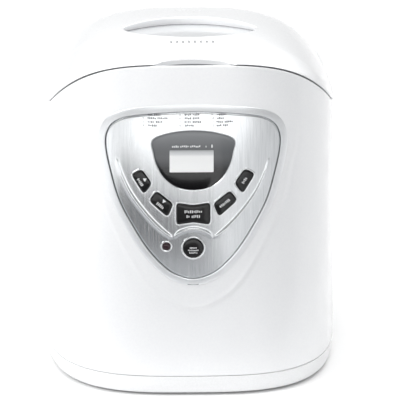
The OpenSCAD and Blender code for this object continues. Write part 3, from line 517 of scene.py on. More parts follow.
def glass_with_painted_shadow():
    """Frosted window with a painted shadow: darker along the rear edge of its recess, where the
    recess wall would shade it.
    """
    mat, tree, shader = new_material("window_glass")
    place = add_node(tree, "ShaderNodeTexCoord")
    parts = add_node(tree, "ShaderNodeSeparateXYZ", [("Vector", place.outputs["Object"])])
    across = add_node(tree, "ShaderNodeMath", [(0, parts.outputs["X"]), (1, parts.outputs["X"])],
                      operation="MULTIPLY")
    bow = add_node(tree, "ShaderNodeMath", [(0, across.outputs[0])], operation="MULTIPLY")
    bow.inputs[1].default_value = WINDOW_REAR * MM / (WINDOW_HALF_W * MM) ** 2
    level = add_node(tree, "ShaderNodeMath", [(0, parts.outputs["Y"]), (1, bow.outputs[0])],
                     operation="ADD")
    span = add_node(tree, "ShaderNodeMapRange", [("Value", level.outputs[0])])
    span.inputs["From Min"].default_value = (WINDOW_Y + 20) * MM
    span.inputs["From Max"].default_value = (WINDOW_Y + 43) * MM
    # Painted shadow: the glass turns dark grey towards the rear edge of the recess.
    colours = ramp(tree, span.outputs["Result"],
                   [(0.0, (226, 228, 230)), (0.45, (214, 216, 218)),
                    (0.75, (170, 172, 175)), (1.0, (126, 128, 131))])
    tree.links.new(colours, shader.inputs["Base Color"])
    noise = add_node(tree, "ShaderNodeTexNoise", [("Vector", place.outputs["Object"])], Scale=60.0)
    spread = add_node(tree, "ShaderNodeMapRange", [("Value", noise.outputs["Fac"])])
    spread.inputs["To Min"].default_value = 0.1
    spread.inputs["To Max"].default_value = 0.18
    tree.links.new(spread.outputs["Result"], shader.inputs["Roughness"])
    shader.inputs["IOR"].default_value = 1.5
    shader.inputs["Transmission Weight"].default_value = 0.2
    shader.inputs["Coat Weight"].default_value = 0.2
    return mat


GLASS = glass_with_painted_shadow()
# Scoop wall in painted shade: greyer than the white body, with a much darker painted shadow along
# its lowest millimetres above the housing's rim.
SCOOP_PAINTED_SHADE = graded("scoop_painted_shade", [(0.0, (84, 86, 88)), (0.22, (104, 106, 108)),
                                     (0.3, (196, 197, 199)), (1.0, (206, 207, 209))],
                     314.0, 325.0, 0.3)


# ---------------------------------------------------------------- housing and base
def round_table(count):
    """Angles evenly spaced along the plan outline, with their arc lengths and the table from arc
    length to angle.
    """
    t = np.linspace(0, TAU, 40001)
    x, y = plan(t, HALF_W, HALF_D)
    s = np.concatenate([[0], np.cumsum(np.hypot(np.diff(x), np.diff(y)))])
    at = np.arange(count) * s[-1] / count
    return np.interp(at, s, t), at, (s, t)


ROUND = 720
ANGLES, ARC, (ARC_TABLE, ANGLE_TABLE) = round_table(ROUND)


def smoothed(values, reach):
    for _ in range(2):
        values = sum(np.roll(values, k) for k in range(-reach, reach + 1)) / (2 * reach + 1)
    return values


EDGE_X, EDGE_Y = plan(ANGLES, HALF_W, HALF_D)
SEAM = smoothed(seam_z(EDGE_X, EDGE_Y), 3)
SEAM_SLOPE = (np.roll(SEAM, -1) - np.roll(SEAM, 1)) / (2 * (ARC[1] - ARC[0]))
SEAM_TILT = np.hypot(1, SEAM_SLOPE)


def angle_at(arc):
    return np.interp(np.mod(arc, ARC_TABLE[-1]), ARC_TABLE, ANGLE_TABLE)


def wall_ring(below, off):
    """Ring of the wall a distance `below` under the lid joint, at right angles to it."""
    t = angle_at(ARC + below * SEAM_SLOPE / SEAM_TILT)
    z = SEAM - below / SEAM_TILT
    x, y = plan(t, half_w(z, off), half_d(z, off))
    return np.stack([x, y, z], -1)


def wall_rows(off, low, count, lead):
    """Rings from the joint, starting `lead` under it, down to the level low."""
    rows = []
    for f in np.linspace(0, 1, count):
        shift = lead * (1 - f) ** 8
        t = angle_at(ARC + shift * SEAM_SLOPE / SEAM_TILT)
        z = (SEAM - lead / SEAM_TILT) * (1 - f) + low * f
        x, y = plan(t, half_w(z, off), half_d(z, off))
        rows.append(np.stack([x, y, z], -1))
    return rows


def swollen(row):
    row = row.copy()
    front = row[:, 1] < -60
    row[:, 1] -= np.where(front, swell(row[:, 0], row[:, 2]), 0)
    return row


def arc_steps(count):
    return [math.pi / 2 * k / count for k in range(count + 1)]


def stadium(cx, cz, half_wide, half_tall, count=10):
    """Outline of a slot with round ends."""
    r = min(half_wide, half_tall)
    dx, dz = half_wide - r, half_tall - r
    pts = []
    for k, (sx, sz) in enumerate(((1, 1), (1, -1), (-1, -1), (-1, 1))):
        for i in range(count):
            a = math.pi / 2 * (1 - k) - math.pi / 2 * i / (count - 1)
            pts.append([cx + sx * dx + r * math.cos(a), cz + sz * dz + r * math.sin(a)])
    return np.array(pts)


def hinge_barrel(x, half, chamfer, web_y, web_z):
    """Barrel on the hinge axis, and the web that joins it to the wall at web_y."""
    barrel = turned([(4 - chamfer, x - half), (4, x - half + chamfer), (4, x + half - chamfer),
                     (4 - chamfer, x + half)], (0, HINGE_Y, HINGE_Z), "x", 40)
    web = [[x - half, web_y], [x + half, web_y], [x + half, HINGE_Y], [x - half, HINGE_Y]]
    return [barrel, prism_z(web, *web_z)]


def build_housing():
    rim = 1.3
    rows = [swollen(r) for r in wall_rows(0, BASE_SEAM + 1.0, 190, rim)][::-1]
    low = BASE_SEAM + 0.5
    x, y = plan(ANGLES, half_w(low, 0.5), half_d(low, 0.5))
    rows = [np.stack([x, y, np.full(ROUND, low)], -1)] + rows
    for a in arc_steps(5)[1:]:
        rows.append(wall_ring(rim * (1 - math.sin(a)), rim * (1 - math.cos(a))))
    for a in arc_steps(4):
        rows.append(wall_ring(rim * (1 - math.cos(a)), WALL - rim * (1 - math.sin(a))))
    rows += wall_rows(WALL, low, 40, rim)[1:]
    housing = raw_object("housing", *loft(rows, wrap=True))
    holes = [prism_y(resample(grow(PANEL, -2.5), 160), *FACE_CUT)]
    for k in range(10):
        holes.append(prism_y(stadium((k - 4.5) * 9, 215, 2, 17), 150, 190))
    holes.append(turned([(8.1, -190), (8.1, -150)], (45, 0, 36), "y", 48))
    for side in (-1, 1):
        x = side * HINGE_X
        loop = [[x - 10.2, 158], [x + 10.2, 158], [x + 10.2, 180], [x - 10.2, 180]]
        holes.append(prism_z(loop, 251.5, 262))
    combine(housing, holes)
    lugs = []
    for side in (-1, 1):
        for end in (-1, 1):
            x = side * HINGE_X + end * 13.6
            lugs += hinge_barrel(x, 3.3, 0.6, 163, (252.4, 255.8))
    combine(housing, lugs, "UNION")
    finish(housing, "root", WHITE, ["outer_housing"])


def build_base():
    def ring(z, off=0.0):
        x, y = plan(ANGLES[::2], half_w(z, off), half_d(z, off))
        return np.stack([x, y, np.full(len(x), z)], -1)
    flat = ring(FOOT_GAP)
    rows = [flat * [s, s, 1] for s in (0.3, 0.6, 0.85, 0.95)]
    rows += [ring(FOOT_GAP + (BASE_SEAM - 0.5 - FOOT_GAP) * (k / 40) ** 2) for k in range(41)]
    rows += [ring(BASE_SEAM - 0.1, 0.35), ring(BASE_SEAM, 1.0), ring(BASE_SEAM, 2.9)]
    rows += [ring(24.5, 2.9), ring(24.5, 4.9), ring(4.5, 4.9)]
    base = raw_object("base", *loft(rows, first=[0, 0, FOOT_GAP], last=[0, 0, 4.5]))
    holes = []
    for sx in (-1, 1):
        for sy in (-1, 1):
            holes.append(turned([(9.1, -1), (9.1, 3.45)], (sx * 92, sy * 96, 0)))
            holes.append(turned([(4.2, -1), (4.2, 7)], (sx * 98, sy * 124, 0)))
    for k in range(-4, 5):
        for side in (-1, 1):
            holes.append(prism_z(stadium(k * 12, side * 90, 2, 20), -1, 8))
    combine(base, holes)
    finish(base, "root", WHITE_SATIN, ["base_pan"])


# ---------------------------------------------------------------- lid
def window_loop(out, count=180):
    """Outline of the window, `out` larger all round."""
    a = np.linspace(0, math.pi, 241)
    rear = np.stack([-(WINDOW_HALF_W + out) * np.cos(a),
                     WINDOW_Y + (WINDOW_REAR + out) * np.sin(a) ** 2], -1)
    front = np.stack([(WINDOW_HALF_W + out) * np.cos(a),
                      WINDOW_Y - (WINDOW_FRONT + out) * np.sin(a)], -1)
    loop = resample(np.vstack([rear[:-1], front[:-1]]), FINE)
    for _ in range(2):
        loop = sum(np.roll(loop, k, 0) for k in range(-5, 6)) / 11
    return resample(loop, count)


def glass_z(y):
    return GLASS_Z - GLASS_SLOPE * (y - GLASS_Y)


def scoop_radius(z):
    return SCOOP_R + (z - SCOOP_Z) * SCOOP_LEAN


def lid_top(x, y):
    """The dome, softened where it turns down into the finger scoop."""
    z = dome_z(x, y)
    edge = np.hypot(x, y - SCOOP_Y) - SCOOP_R
    drop = np.clip(1 - edge / 1.8, 0, 1)
    return z - 1.5 * (1 - np.sqrt(1 - drop ** 2)) * (y < -140)


def build_lid():
    def dome_row(share, off, lift, top=True):
        x, y = plan(ANGLES, half_w(SEAM, off), half_d(SEAM, off))
        x, y = x * share, y * share
        z = (lid_top(x, y) if top else dome_z(x, y)) + lift
        return x, y, z

    shares_out = np.concatenate([1 - 0.035 * (np.linspace(0, 1, 16)) ** 2,
                                 np.linspace(0.962, 0.5, 150), np.linspace(0.495, 0.01, 110)])
    rows = []
    for share in np.linspace(0.01, 0.985, 40):
        x, y, z = dome_row(share, LID_T, -LID_T, False)
        if share > 0.9:
            z = np.maximum(z, SEAM + 1.5)
        rows.append(np.stack([x, y, z], -1))
    gap = -0.95
    rows.append(wall_ring(gap, LID_T))
    rows.append(wall_ring(gap, 1.0))
    rows.append(wall_ring(gap - 0.3, 0.3))
    base = wall_ring(gap - 0.8, 0.0)
    rows.append(base)
    for share in shares_out[1:]:
        x, y, z = dome_row(share, 0, 0)
        lift = np.clip((1 - share) / 0.035, 0, 1)
        rise = math.sqrt(1 - (1 - lift) ** 2) ** 1.2
        rows.append(np.stack([x, y, base[:, 2] + (z - base[:, 2]) * rise], -1))
    lid = raw_object("lid_shell", *loft(rows, first=[0, 0, float(dome_z(0.0, 0.0)) - LID_T],
                                        last=[0, 0, float(dome_z(0.0, 0.0))]))
    scoop = turned([(scoop_radius(z), z) for z in (310, SCOOP_Z, 343)], (0, SCOOP_Y, 0), "z", 240)
    holes = [scoop, prism_z(window_loop(2.3), 280, 345)]
    for k in range(8):
        holes.append(prism_z(stadium((k - 3.5) * VENT_PITCH, VENT_Y, 1.0, 3.5, 6), 300, 340))
    for k in range(-2, 3):
        holes.append(turned([(1.3, 280), (1.3, 330)], (k * 6, 72, 0), "z", 20))
    combine(lid, holes)
    extra = []
    for side in (-1, 1):
        extra += hinge_barrel(side * HINGE_X, 9.8, 0.5, 163.8, (HINGE_Z + 0.9, HINGE_Z + 4))
    combine(lid, extra, "UNION")
    finish(lid, "lid", WHITE, ["lid_shell"], sharp=30)


def build_scoop_wall():
    """Conical wall of the finger scoop, rounded where it meets the dome."""
    low, thick, margin = 311.0, 2.2, 3.4
    rows = []
    for a in np.linspace(-math.radians(41), math.radians(41), 120):
        d = np.array([math.sin(a), math.cos(a)])
        rim_x, rim_y = d[0] * 69.0, SCOOP_Y + d[1] * 69.0
        top = max(float(lid_top(np.array(rim_x), np.array(rim_y))) - 1.4, 313.5)
        section = [(z, 0) for z in np.linspace(low, top, 8)] + [(top + 0.35, 0.6)]
        section += [(z, thick) for z in np.linspace(top, low, 8)]
        row = []
        for z, depth in section:
            r = scoop_radius(z) + depth
            x, y = d[0] * r, SCOOP_Y + d[1] * r
            share = float(((abs(x) / (half_w(z) - margin)) ** POWER
                           + (abs(y) / (half_d(z) - margin)) ** POWER) ** (1 / POWER))
            row.append([x / max(share, 1), y / max(share, 1), z])
        rows.append(row)
    wall = raw_object("scoop_wall", *loft(rows, first=np.mean(rows[0], axis=0),
                                          last=np.mean(rows[-1], axis=0)))
    # Its material paints the scoop's shade and a darker shadow along its foot.
    finish(wall, "lid", SCOOP_PAINTED_SHADE)


def build_window():
    frame_rows = []
    profile = [(2.25, None, -4.0), (2.25, 0.0, 0), (1.7, 0.0, 0), (1.1, -0.1, 0), (0.6, -0.4, 0),
               (0.2, -0.95, 0), (0.0, -1.7, 0), (0.0, None, 0.15), (1.2, None, -0.2)]
    for out, from_top, from_glass in profile:
        loop = window_loop(out)
        x, y = loop[:, 0], loop[:, 1]
        z = glass_z(y) + from_glass if from_top is None else dome_z(x, y) + from_top
        frame_rows.append(np.stack([x, y, np.maximum(z, glass_z(y) + from_glass)], -1))
    ring = raw_object("window_frame", *loft(frame_rows, wrap=True))
    finish(ring, "lid", WHITE, ["window_frame"])
    middle = np.array([0, WINDOW_Y - 8])
    outlines = [(window_loop(out), drop)
                for out, drop in ((0.1, GLASS_T), (1.9, GLASS_T), (2.05, 2.7), (2.05, 0.3),
                                  (1.8, 0.0), (1.0, 0.0))]
    outlines.append(((window_loop(0) - middle) * 0.9 + middle, 0.0))
    rows = [np.stack([loop[:, 0], loop[:, 1], glass_z(loop[:, 1]) - drop], -1)
            for loop, drop in outlines]
    top = glass_z(middle[1])
    glass = raw_object("window_glass", *loft(rows, first=[*middle, top - GLASS_T],
                                             last=[*middle, top]))
    finish(glass, "lid", GLASS, ["window_glass"])


# ---------------------------------------------------------------- control panel
def on_face(loop, out):
    """(x, z) points laid on the panel's face, `out` in front of the swell."""
    loop = np.asarray(loop, float)
    x, z = loop[:, 0], loop[:, 1]
    return np.stack([x, skin_y(x, z) - out, z], -1)


def face_ring(name, loop, profile):
    """Ring along the loop; profile gives (growth, height over the face)."""
    rows = [on_face(grow(loop, out), high) for out, high in profile]
    return raw_object(name, *loft(rows, wrap=True))


RIDGE_LEFT = curve([[-69.5, 230], [-65.4, 214.2], [-56.6, 196.3], [-43.2, 178.3], [-29.8, 164.1],
                    [-19.5, 156.6]], 14, closed=False)
RIDGE_ARC = curve([[-17.5, 156.4], [-13.5, 160.6], [-6.5, 163.6], [0, 164.6], [6.5, 163.6],
                   [13.5, 160.6], [17.5, 156.4]], 14, closed=False)
PLATE_EDGE = resample(grow(PANEL, -BEZEL_W - 0.5), 600)


def ridge_height(x, z):
    height = np.zeros_like(x)
    for path, width, tall in ((RIDGE_LEFT, 1.9, 1.0), (mirrored(RIDGE_LEFT), 1.9, 1.0),
                              (RIDGE_ARC, 1.6, 0.75)):
        best = np.full(x.shape, 1e9)
        near = np.zeros_like(x)
        for k, (px, pz) in enumerate(path):
            d = np.hypot(x - px, z - pz)
            closer = d < best
            best = np.where(closer, d, best)
            near = np.where(closer, k / (len(path) - 1), near)
        taper = np.sqrt(np.clip(np.minimum(near, 1 - near) * 5, 0.02, 1))
        bead = tall * taper * np.exp(-(best / (width * (0.55 + 0.45 * taper))) ** 2)
        height = np.maximum(height, bead)
    return height


def plate_height(x, z, edge_share):
    """Pressed plate: slightly domed, rounded at its edge, with the raised ridge."""
    dome = PLATE_CROWN * (1 - edge_share ** 3)
    roll = np.clip((edge_share - 0.975) / 0.025, 0, 1)
    return PLATE_LIFT + dome - 0.8 * (1 - np.sqrt(1 - roll ** 2)) + ridge_height(x, z)


def build_plate():
    centre = np.array([0, PANEL_MID])
    edge_shares = 1 - 0.025 * (1 - np.linspace(0, 1, 8)[1:])
    shares = np.concatenate([np.linspace(0.02, 0.97, 150), edge_shares])
    rows = []
    for share in shares:
        loop = centre + (PLATE_EDGE - centre) * share
        x, z = loop[:, 0], loop[:, 1]
        rows.append(np.stack([x, skin_y(x, z) - plate_height(x, z, share), z], -1))
    for share in (1.0, 0.5, 0.02):
        loop = centre + (PLATE_EDGE - centre) * share
        rows.append(on_face(loop, -1.6))
    mid = float(skin_y(np.array(0.0), np.array(PANEL_MID)))
    front = [0, mid - PLATE_LIFT - PLATE_CROWN, PANEL_MID]
    plate = raw_object("fascia_plate", *loft(rows, first=front, last=[0, mid + 1.6, PANEL_MID]))
    holes = [prism_y(resample(grow(LENS, 0.3), 120), *FACE_CUT)]
    for loop in KEYS.values():
        holes.append(prism_y(resample(grow(loop, 0.55), 64), *FACE_CUT))
    holes.append(prism_y(circle(0, START_Z, START_R + 0.5), *FACE_CUT))
    holes.append(prism_y(circle(LED_X, LED_Z, LED_R + 0.1, 40), *FACE_CUT))
    combine(plate, holes)
    finish(plate, "root", BRUSHED, ["fascia_plate"], sharp=40)


def face_level(x, z):
    """Height of the plate over the swell at one point."""
    x, z = np.asarray(x, float), np.asarray(z, float)
    share = np.hypot(x, z - PANEL_MID) / polar_radius(PLATE_EDGE, x, z)
    return PLATE_LIFT + PLATE_CROWN * (1 - np.clip(share, 0, 1) ** 3)


def build_bezel():
    profile = [(0.0, -2.2), (0.0, 0.15), (-0.15, 0.4), (-0.6, 0.62), (-3.0, 1.35), (-5.2, 1.8),
               (-5.9, 1.82), (-6.2, 1.6), (-6.35, 1.1), (-6.35, -2.2)]
    loop = resample(PANEL, 480)
    ring = face_ring("panel_bezel", loop, profile)
    finish(ring, "root", SATIN_SILVER, ["panel_bezel"], sharp=50)
    # Painted shade: a small black pill on the face stands in for the shade inside a pry slot below
    # the bezel.
    slot_loop = stadium(0, 111.6, 5.2, 0.75)
    rows = [on_face(slot_loop, h) for h in (-0.6, 0.72)]
    rows.append(on_face(stadium(0, 111.6, 5.0, 0.5), 0.8))
    notch = raw_object("bezel_notch", *loft(rows, first=on_face([[0, 111.6]], -0.6)[0],
                                            last=on_face([[0, 111.6]], 0.8)[0]))
    finish(notch, "root", SLOT_PAINTED_SHADE)


def crowned(loop, centre, back, rings, tip):
    """Closed cap over the loop; rings give (share of the outline, height over the face)."""
    rows = [on_face(loop, back)]
    rows += [on_face(centre + (loop - centre) * share, high) for share, high in rings]
    return loft(rows, first=on_face([centre], back)[0], last=on_face([centre], tip)[0])


def silver_rim(name, loop, base, profile):
    """Bright rim; profile gives (growth, height over the level base)."""
    rim = face_ring(name, loop, [(out, base + high) for out, high in profile])
    finish(rim, "root", KEY_SILVER)


def stem(node, centre, radius, tip_radius, tip_length):
    """Round rod behind the face, as long as the piece it belongs to."""
    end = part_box(node)[1].y / MM
    return turned([(radius, -end), (radius, STEM_FRONT), (tip_radius, STEM_FRONT + tip_length)],
                  (centre[0], 0, centre[1]), "y", 24)


def build_lens():
    loop = resample(LENS, 240)
    cap = crowned(loop, np.array([0.0, 232.0]), -1.2,
                  [(1, 0.75), (0.99, 0.95), (0.97, 1.02), (0.9, 1.08), (0.7, 1.15), (0.4, 1.2),
                   (0.15, 1.2)], 1.2)
    finish(raw_object("display_lens", *cap), "root", LENS_BLACK_PAINTED_REFLECTION, ["display_lens"])
    level = float(face_level(0, 205))
    silver_rim("lens_rim", loop, 0, [(1.1, level - 1.0), (1.1, level + 0.08),
                                     (0.8, level + 0.16), (0.05, 0.8), (0.05, -1.0)])
    corners = [[LCD_X + sx * LCD_HALF_W, LCD_Z + sz * LCD_HALF_H]
               for sx, sz in ((-1, 1), (1, 1), (1, -1), (-1, -1))]
    screen = crowned(soften(corners, 0.5, 160), np.array([LCD_X, LCD_Z]), 0.9,
                     [(1.0, 1.26), (0.97, 1.28), (0.6, 1.28), (0.2, 1.28)], 1.28)
    finish(raw_object("lcd_screen", *screen), "root", LCD_GREY_PAINTED_SHADOW)


def key_cap(name, loop, centre, body, node, level):
    """Moulded key with a soft edge and a slightly crowned face."""
    centre = np.asarray(centre, float)
    reach = float(np.linalg.norm(loop - centre, axis=1).mean())
    insets = [(0.08, 0.42), (0.3, 0.2), (0.65, 0.07), (1.1, 0.0), (2.2, -0.12), (3.6, -0.2),
              (5.2, -0.24)]
    rings = [(1, level - 0.75)] + [(1 - inset / reach, level - drop)
                                   for inset, drop in insets if inset < reach * 0.8]
    cap = crowned(loop, centre, -2.2, rings, level + 0.25)
    obj = merged(name, [cap, stem(node, centre, 3.0, 2.0, 0.5)])
    finish(obj, body, KEY_BLACK, [node])


def greeked(cx, cz, tilt, words, height, out, stroke=0.6, gap=0.55):
    """A line of short strokes of uneven height that stands for lettering."""
    total = sum(words) * (stroke + gap) - gap + (len(words) - 1) * gap * 1.6
    at = -total / 2
    c, s = math.cos(tilt), math.sin(tilt)
    dice = random.Random(len(words) * 31 + int(abs(cx) * 10 + abs(cz) * 7))
    shapes = []
    for word in words:
        for _ in range(word):
            low = -height / 2 * dice.choice([1, 1, 0.6])
            high = height / 2 * dice.choice([1, 1, 0.55])
            box = [[at, low], [at, high], [at + stroke, high], [at + stroke, low]]
            loop = [[cx + u * c - v * s, cz + u * s + v * c] for u, v in box]
            shapes.append((loop, out))
            at += stroke + gap
        at += gap * 1.6
    return shapes


def triangle(cx, cz, size, tilt, out):
    pts = [[0, size * 0.62], [size * 0.6, -size * 0.42], [-size * 0.6, -size * 0.42]]
    c, s = math.cos(tilt), math.sin(tilt)
    return [([[cx + u * c - v * s, cz + u * s + v * c] for u, v in pts], out)]


def prints(name, shapes, body, material):
    """Thin printed marks on the panel's face."""
    sunk, thick = 0.12, 0.05
    parts = []
    for loop, out in shapes:
        middle = [np.mean(loop, axis=0)]
        parts.append(loft([on_face(loop, out - sunk), on_face(loop, out + thick)],
                          first=on_face(middle, out - sunk)[0],
                          last=on_face(middle, out + thick)[0]))
    obj = merged(name, parts)
    finish(obj, body, material)


def build_keys():
    marks = {
        "time_up": [("tri", 0, 3.2, 0.0), ("word", 0, -2.0, [5])],
        "time_down": [("tri", 0, 3.0, math.pi), ("word", 0, -2.2, [5])],
        "size": [("word", 0, 2.2, [10]), ("word", 0, -2.4, [2, 5])],
        "options": [("word", 0, 0, [7])],
        "colour": [("word", 0, 0, [4])],
    }
    tilts = {"time_up": math.radians(-58), "time_down": math.radians(-40), "size": 0.0,
             "options": math.radians(40), "colour": math.radians(58)}
    for name, loop in KEYS.items():
        centre = loop.mean(0)
        level = float(face_level(*centre)) + 1.1
        key_cap("key_" + name, loop, centre, "key_" + name, "button_" + name, level)
        tilt = tilts[name]
        c, s = math.cos(tilt), math.sin(tilt)
        shapes = []
        for kind, u, v, what in marks[name]:
            x, z = centre[0] + u * c - v * s, centre[1] + u * s + v * c
            if kind == "tri":
                shapes += triangle(x, z, 3.0, tilt + what, level + 0.26)
            else:
                shapes += greeked(x, z, tilt, what, 2.7, level + 0.26, stroke=0.8, gap=0.85)
        prints("mark_" + name, shapes, "key_" + name, MARK_WHITE)
        silver_rim("rim_" + name, loop, float(face_level(*centre)),
                   [(2.0, -0.6), (1.9, 0.1), (1.5, 0.42), (1.05, 0.55), (0.65, 0.42),
                    (0.42, 0.1), (0.42, -1.2)])
    start = circle(0, START_Z, START_R, 96)
    level = float(face_level(0, START_Z)) + 1.3
    key_cap("key_start", start, (0, START_Z), "key_start", "button_start", level)
    shapes = []
    for dz, words in ((2.3, [6]), (0.0, [9]), (-2.3, [7])):
        shapes += greeked(0, START_Z - 2 + dz, 0, words, 1.5, level + 0.24, stroke=0.6, gap=0.5)
    prints("mark_start", shapes, "key_start", MARK_WHITE)
    silver_rim("rim_start", start, float(face_level(0, START_Z)),
               [(2.2, -0.6), (2.1, 0.1), (1.6, 0.5), (1.1, 0.62), (0.6, 0.5), (0.4, 0.1),
                (0.4, -1.2)])


def build_light():
    height = float(face_level(LED_X, LED_Z))
    centre = np.array([LED_X, LED_Z])
    rings = [(share, height + high) for share, high in
             ((1, 0.2), (0.96, 0.5), (0.85, 0.8), (0.65, 1.05), (0.4, 1.2), (0.15, 1.26))]
    dome = crowned(circle(LED_X, LED_Z, LED_R - 0.3, 48), centre, -2.0, rings, height + 1.27)
    lens = merged("status_light", [dome, stem("indicator_lens", centre, 2.0, 1.5, 0.4)])
    finish(lens, "root", LED_RED, ["indicator_lens"])
    silver_rim("status_rim", circle(LED_X, LED_Z, LED_R, 64), height,
               [(1.5, -0.6), (1.4, 0.1), (1.0, 0.45), (0.5, 0.55), (0.0, 0.3), (-0.25, -0.2),
                (-0.25, -1.5)])


def numeral(text, x, z, height):
    """Flat outline of a number, as (points, faces) in the panel's (x, z)."""
    data = bpy.data.curves.new("number", "FONT")
    data.body, data.size = text, height * 1.42
    obj = bpy.data.objects.new("number", data)
    bpy.context.scene.collection.objects.link(obj)
    graph = bpy.context.evaluated_depsgraph_get()
    mesh = bpy.data.meshes.new_from_object(obj.evaluated_get(graph))
    pts = np.array([[v.co.x + x, v.co.y + z] for v in mesh.vertices])
    faces = [list(p.vertices) for p in mesh.polygons]
    bpy.data.objects.remove(obj)
    bpy.data.curves.remove(data)
    bpy.data.meshes.remove(mesh)
    return pts, faces


def build_programme_list():
    columns = [(-46.0, [7, 11, 8, 5]), (-12.6, [8, 8, 9, 5]), (16.3, [5, 4, 9, 6])]
    levels = [273.4, 270.0, 266.6, 263.2]
    shapes, points, faces = [], [], []
    for c, (x, lengths) in enumerate(columns):
        for r, (z, length) in enumerate(zip(levels, lengths)):
            words = [length] if length < 6 else [length // 2, length - length // 2]
            width = length * 1.5 + 1.6
            line = greeked(x + 4.6 + width / 2, z, 0, words, 1.9, 0, stroke=1.0, gap=0.6)
            shapes += [(loop, float(face_level(*np.mean(loop, axis=0))) + 0.03) for loop, _ in line]
            pts, fcs = numeral(str(c * 4 + r + 1), x, z - 0.85, 1.8)
            base = len(points)
            level = face_level(pts[:, 0], pts[:, 1])
            lifted = on_face(pts, 0)
            lifted[:, 1] -= level + 0.1
            points += lifted.tolist()
            faces += [[base + i for i in f] for f in fcs]
    prints("programme_bars", shapes, "root", MARK_GREY)
    numbers = raw_object("programme_numbers", points, faces)
    finish(numbers, "root", MARK_GREY)
    marks = greeked(-6.4, 243.6, 0, [4, 5, 6], 2.0, 1.24, stroke=0.95, gap=0.65)
    marks += greeked(11.6, 243.6, 0, [1], 1.9, 1.24)
    marks += greeked(17.0, 243.8, 0, [1], 2.8, 1.24, stroke=1.2)
    prints("display_marks", marks, "root", MARK_WHITE)


# ---------------------------------------------------------------- pan, handle and paddle
def pan_ring(half_wide, r, z):
    """Ring of the pan, a rounded rectangle a little longer than wide, at level z."""
    half_deep, per = half_wide + 6, 40
    pts = []
    for k, (sx, sy) in enumerate(((1, 1), (-1, 1), (-1, -1), (1, -1))):
        for i in range(per):
            a = math.pi / 2 * (k + i / (per - 1))
            pts.append([sx * (half_wide - r) + r * math.cos(a),
                        PAN_Y + sy * (half_deep - r) + r * math.sin(a), z])
    return np.array(pts)


def build_pan():
    inner_floor = PAN_FLOOR + 1.5
    profile = [(50, 8, PAN_FLOOR), (62, 13, PAN_FLOOR), (65, 15.2, 87.2), (66, 16, 90.0),
               (66, 16, 160), (66, 16, 233), (66, 16, 235.6), (67, 17, 235.3),
               (68.4, 18.4, 235.2), (69.2, 19.2, 236.0), (69.2, 19.2, 237.0), (68.4, 18.4, 237.9),
               (66.6, 16.6, 238.0), (65.0, 15.0, 237.4), (64.5, 14.5, 236.0), (64.5, 14.5, 160),
               (64.5, 14.5, 93), (63.2, 13.2, 89.0), (60, 11, 87.6), (40, 8, inner_floor)]
    obj = raw_object("bread_pan", *loft([pan_ring(*ring) for ring in profile],
                                        first=[0, PAN_Y, PAN_FLOOR], last=[0, PAN_Y, inner_floor]))
    combine(obj, [turned([(9, 84), (9, 90)], (0, PAN_Y, 0))])
    ears = []
    for side in (-1, 1):
        x0, x1 = sorted((side * 66.05, side * 69.9))
        loop = soften([[0.0, 221.0], [0.0, 236.0], [10.0, 236.0], [10.0, 221.0]], 2.0, 48)
        rows = [[[x, y, z] for y, z in loop] for x in (x0, x1)]
        ears.append(loft(rows, first=[x0, 5, 228.5], last=[x1, 5, 228.5]))
    ear_obj = merged("pan_ears", ears)
    combine(ear_obj, [turned([(2.05, side * 68 - 3), (2.05, side * 68 + 3)],
                             (0, PAN_Y, PIVOT_Z), "x", 32) for side in (-1, 1)])
    finish(obj, "pan", NON_STICK, ["bread_pan"])
    finish(ear_obj, "pan", NON_STICK)


def build_handle():
    length, lift, bend = 60, 16.5, 5.0
    grip_y = PAN_Y - math.sqrt(length ** 2 - lift ** 2)
    grip_z = PIVOT_Z + lift
    arm = np.array([0, grip_y - PAN_Y, lift]) / length

    def corner(a, corner_point, b):
        a, m, b = (np.asarray(v, float) for v in (a, corner_point, b))
        return [(1 - t) ** 2 * a + 2 * t * (1 - t) * m + t * t * b for t in np.linspace(0, 1, 9)]

    side = 75
    pivot = np.array([side, PAN_Y, PIVOT_Z])
    top = np.array([side, grip_y, grip_z])
    right = [np.array([66.3, PAN_Y, PIVOT_Z])]
    right += corner(pivot - [bend * 0.8, 0, 0], pivot, pivot + arm * bend * 0.8)
    right += corner(top - arm * bend, top, top - [bend, 0, 0])
    path = right + [p * [-1, 1, 1] for p in right[::-1]]
    wire = tube_along(path, 2.0, 16)
    span = np.linspace(-30, 30, 41)
    edge = np.clip(np.minimum(span + 30, 30 - span) / 2.0, 0, 1)
    radius = 2.02 + 1.58 * np.sqrt(1 - (1 - edge) ** 2)
    radius *= 1 + 0.03 * np.cos(span * 0.9)
    grip = tube_along([[x, grip_y, grip_z] for x in span], np.minimum(radius, 3.6), 24)
    obj = merged("pan_handle", [wire])
    finish(obj, "handle", CHROME, ["pan_handle"])
    obj = merged("handle_grip", [grip])
    finish(obj, "handle", BLACK_PLASTIC)


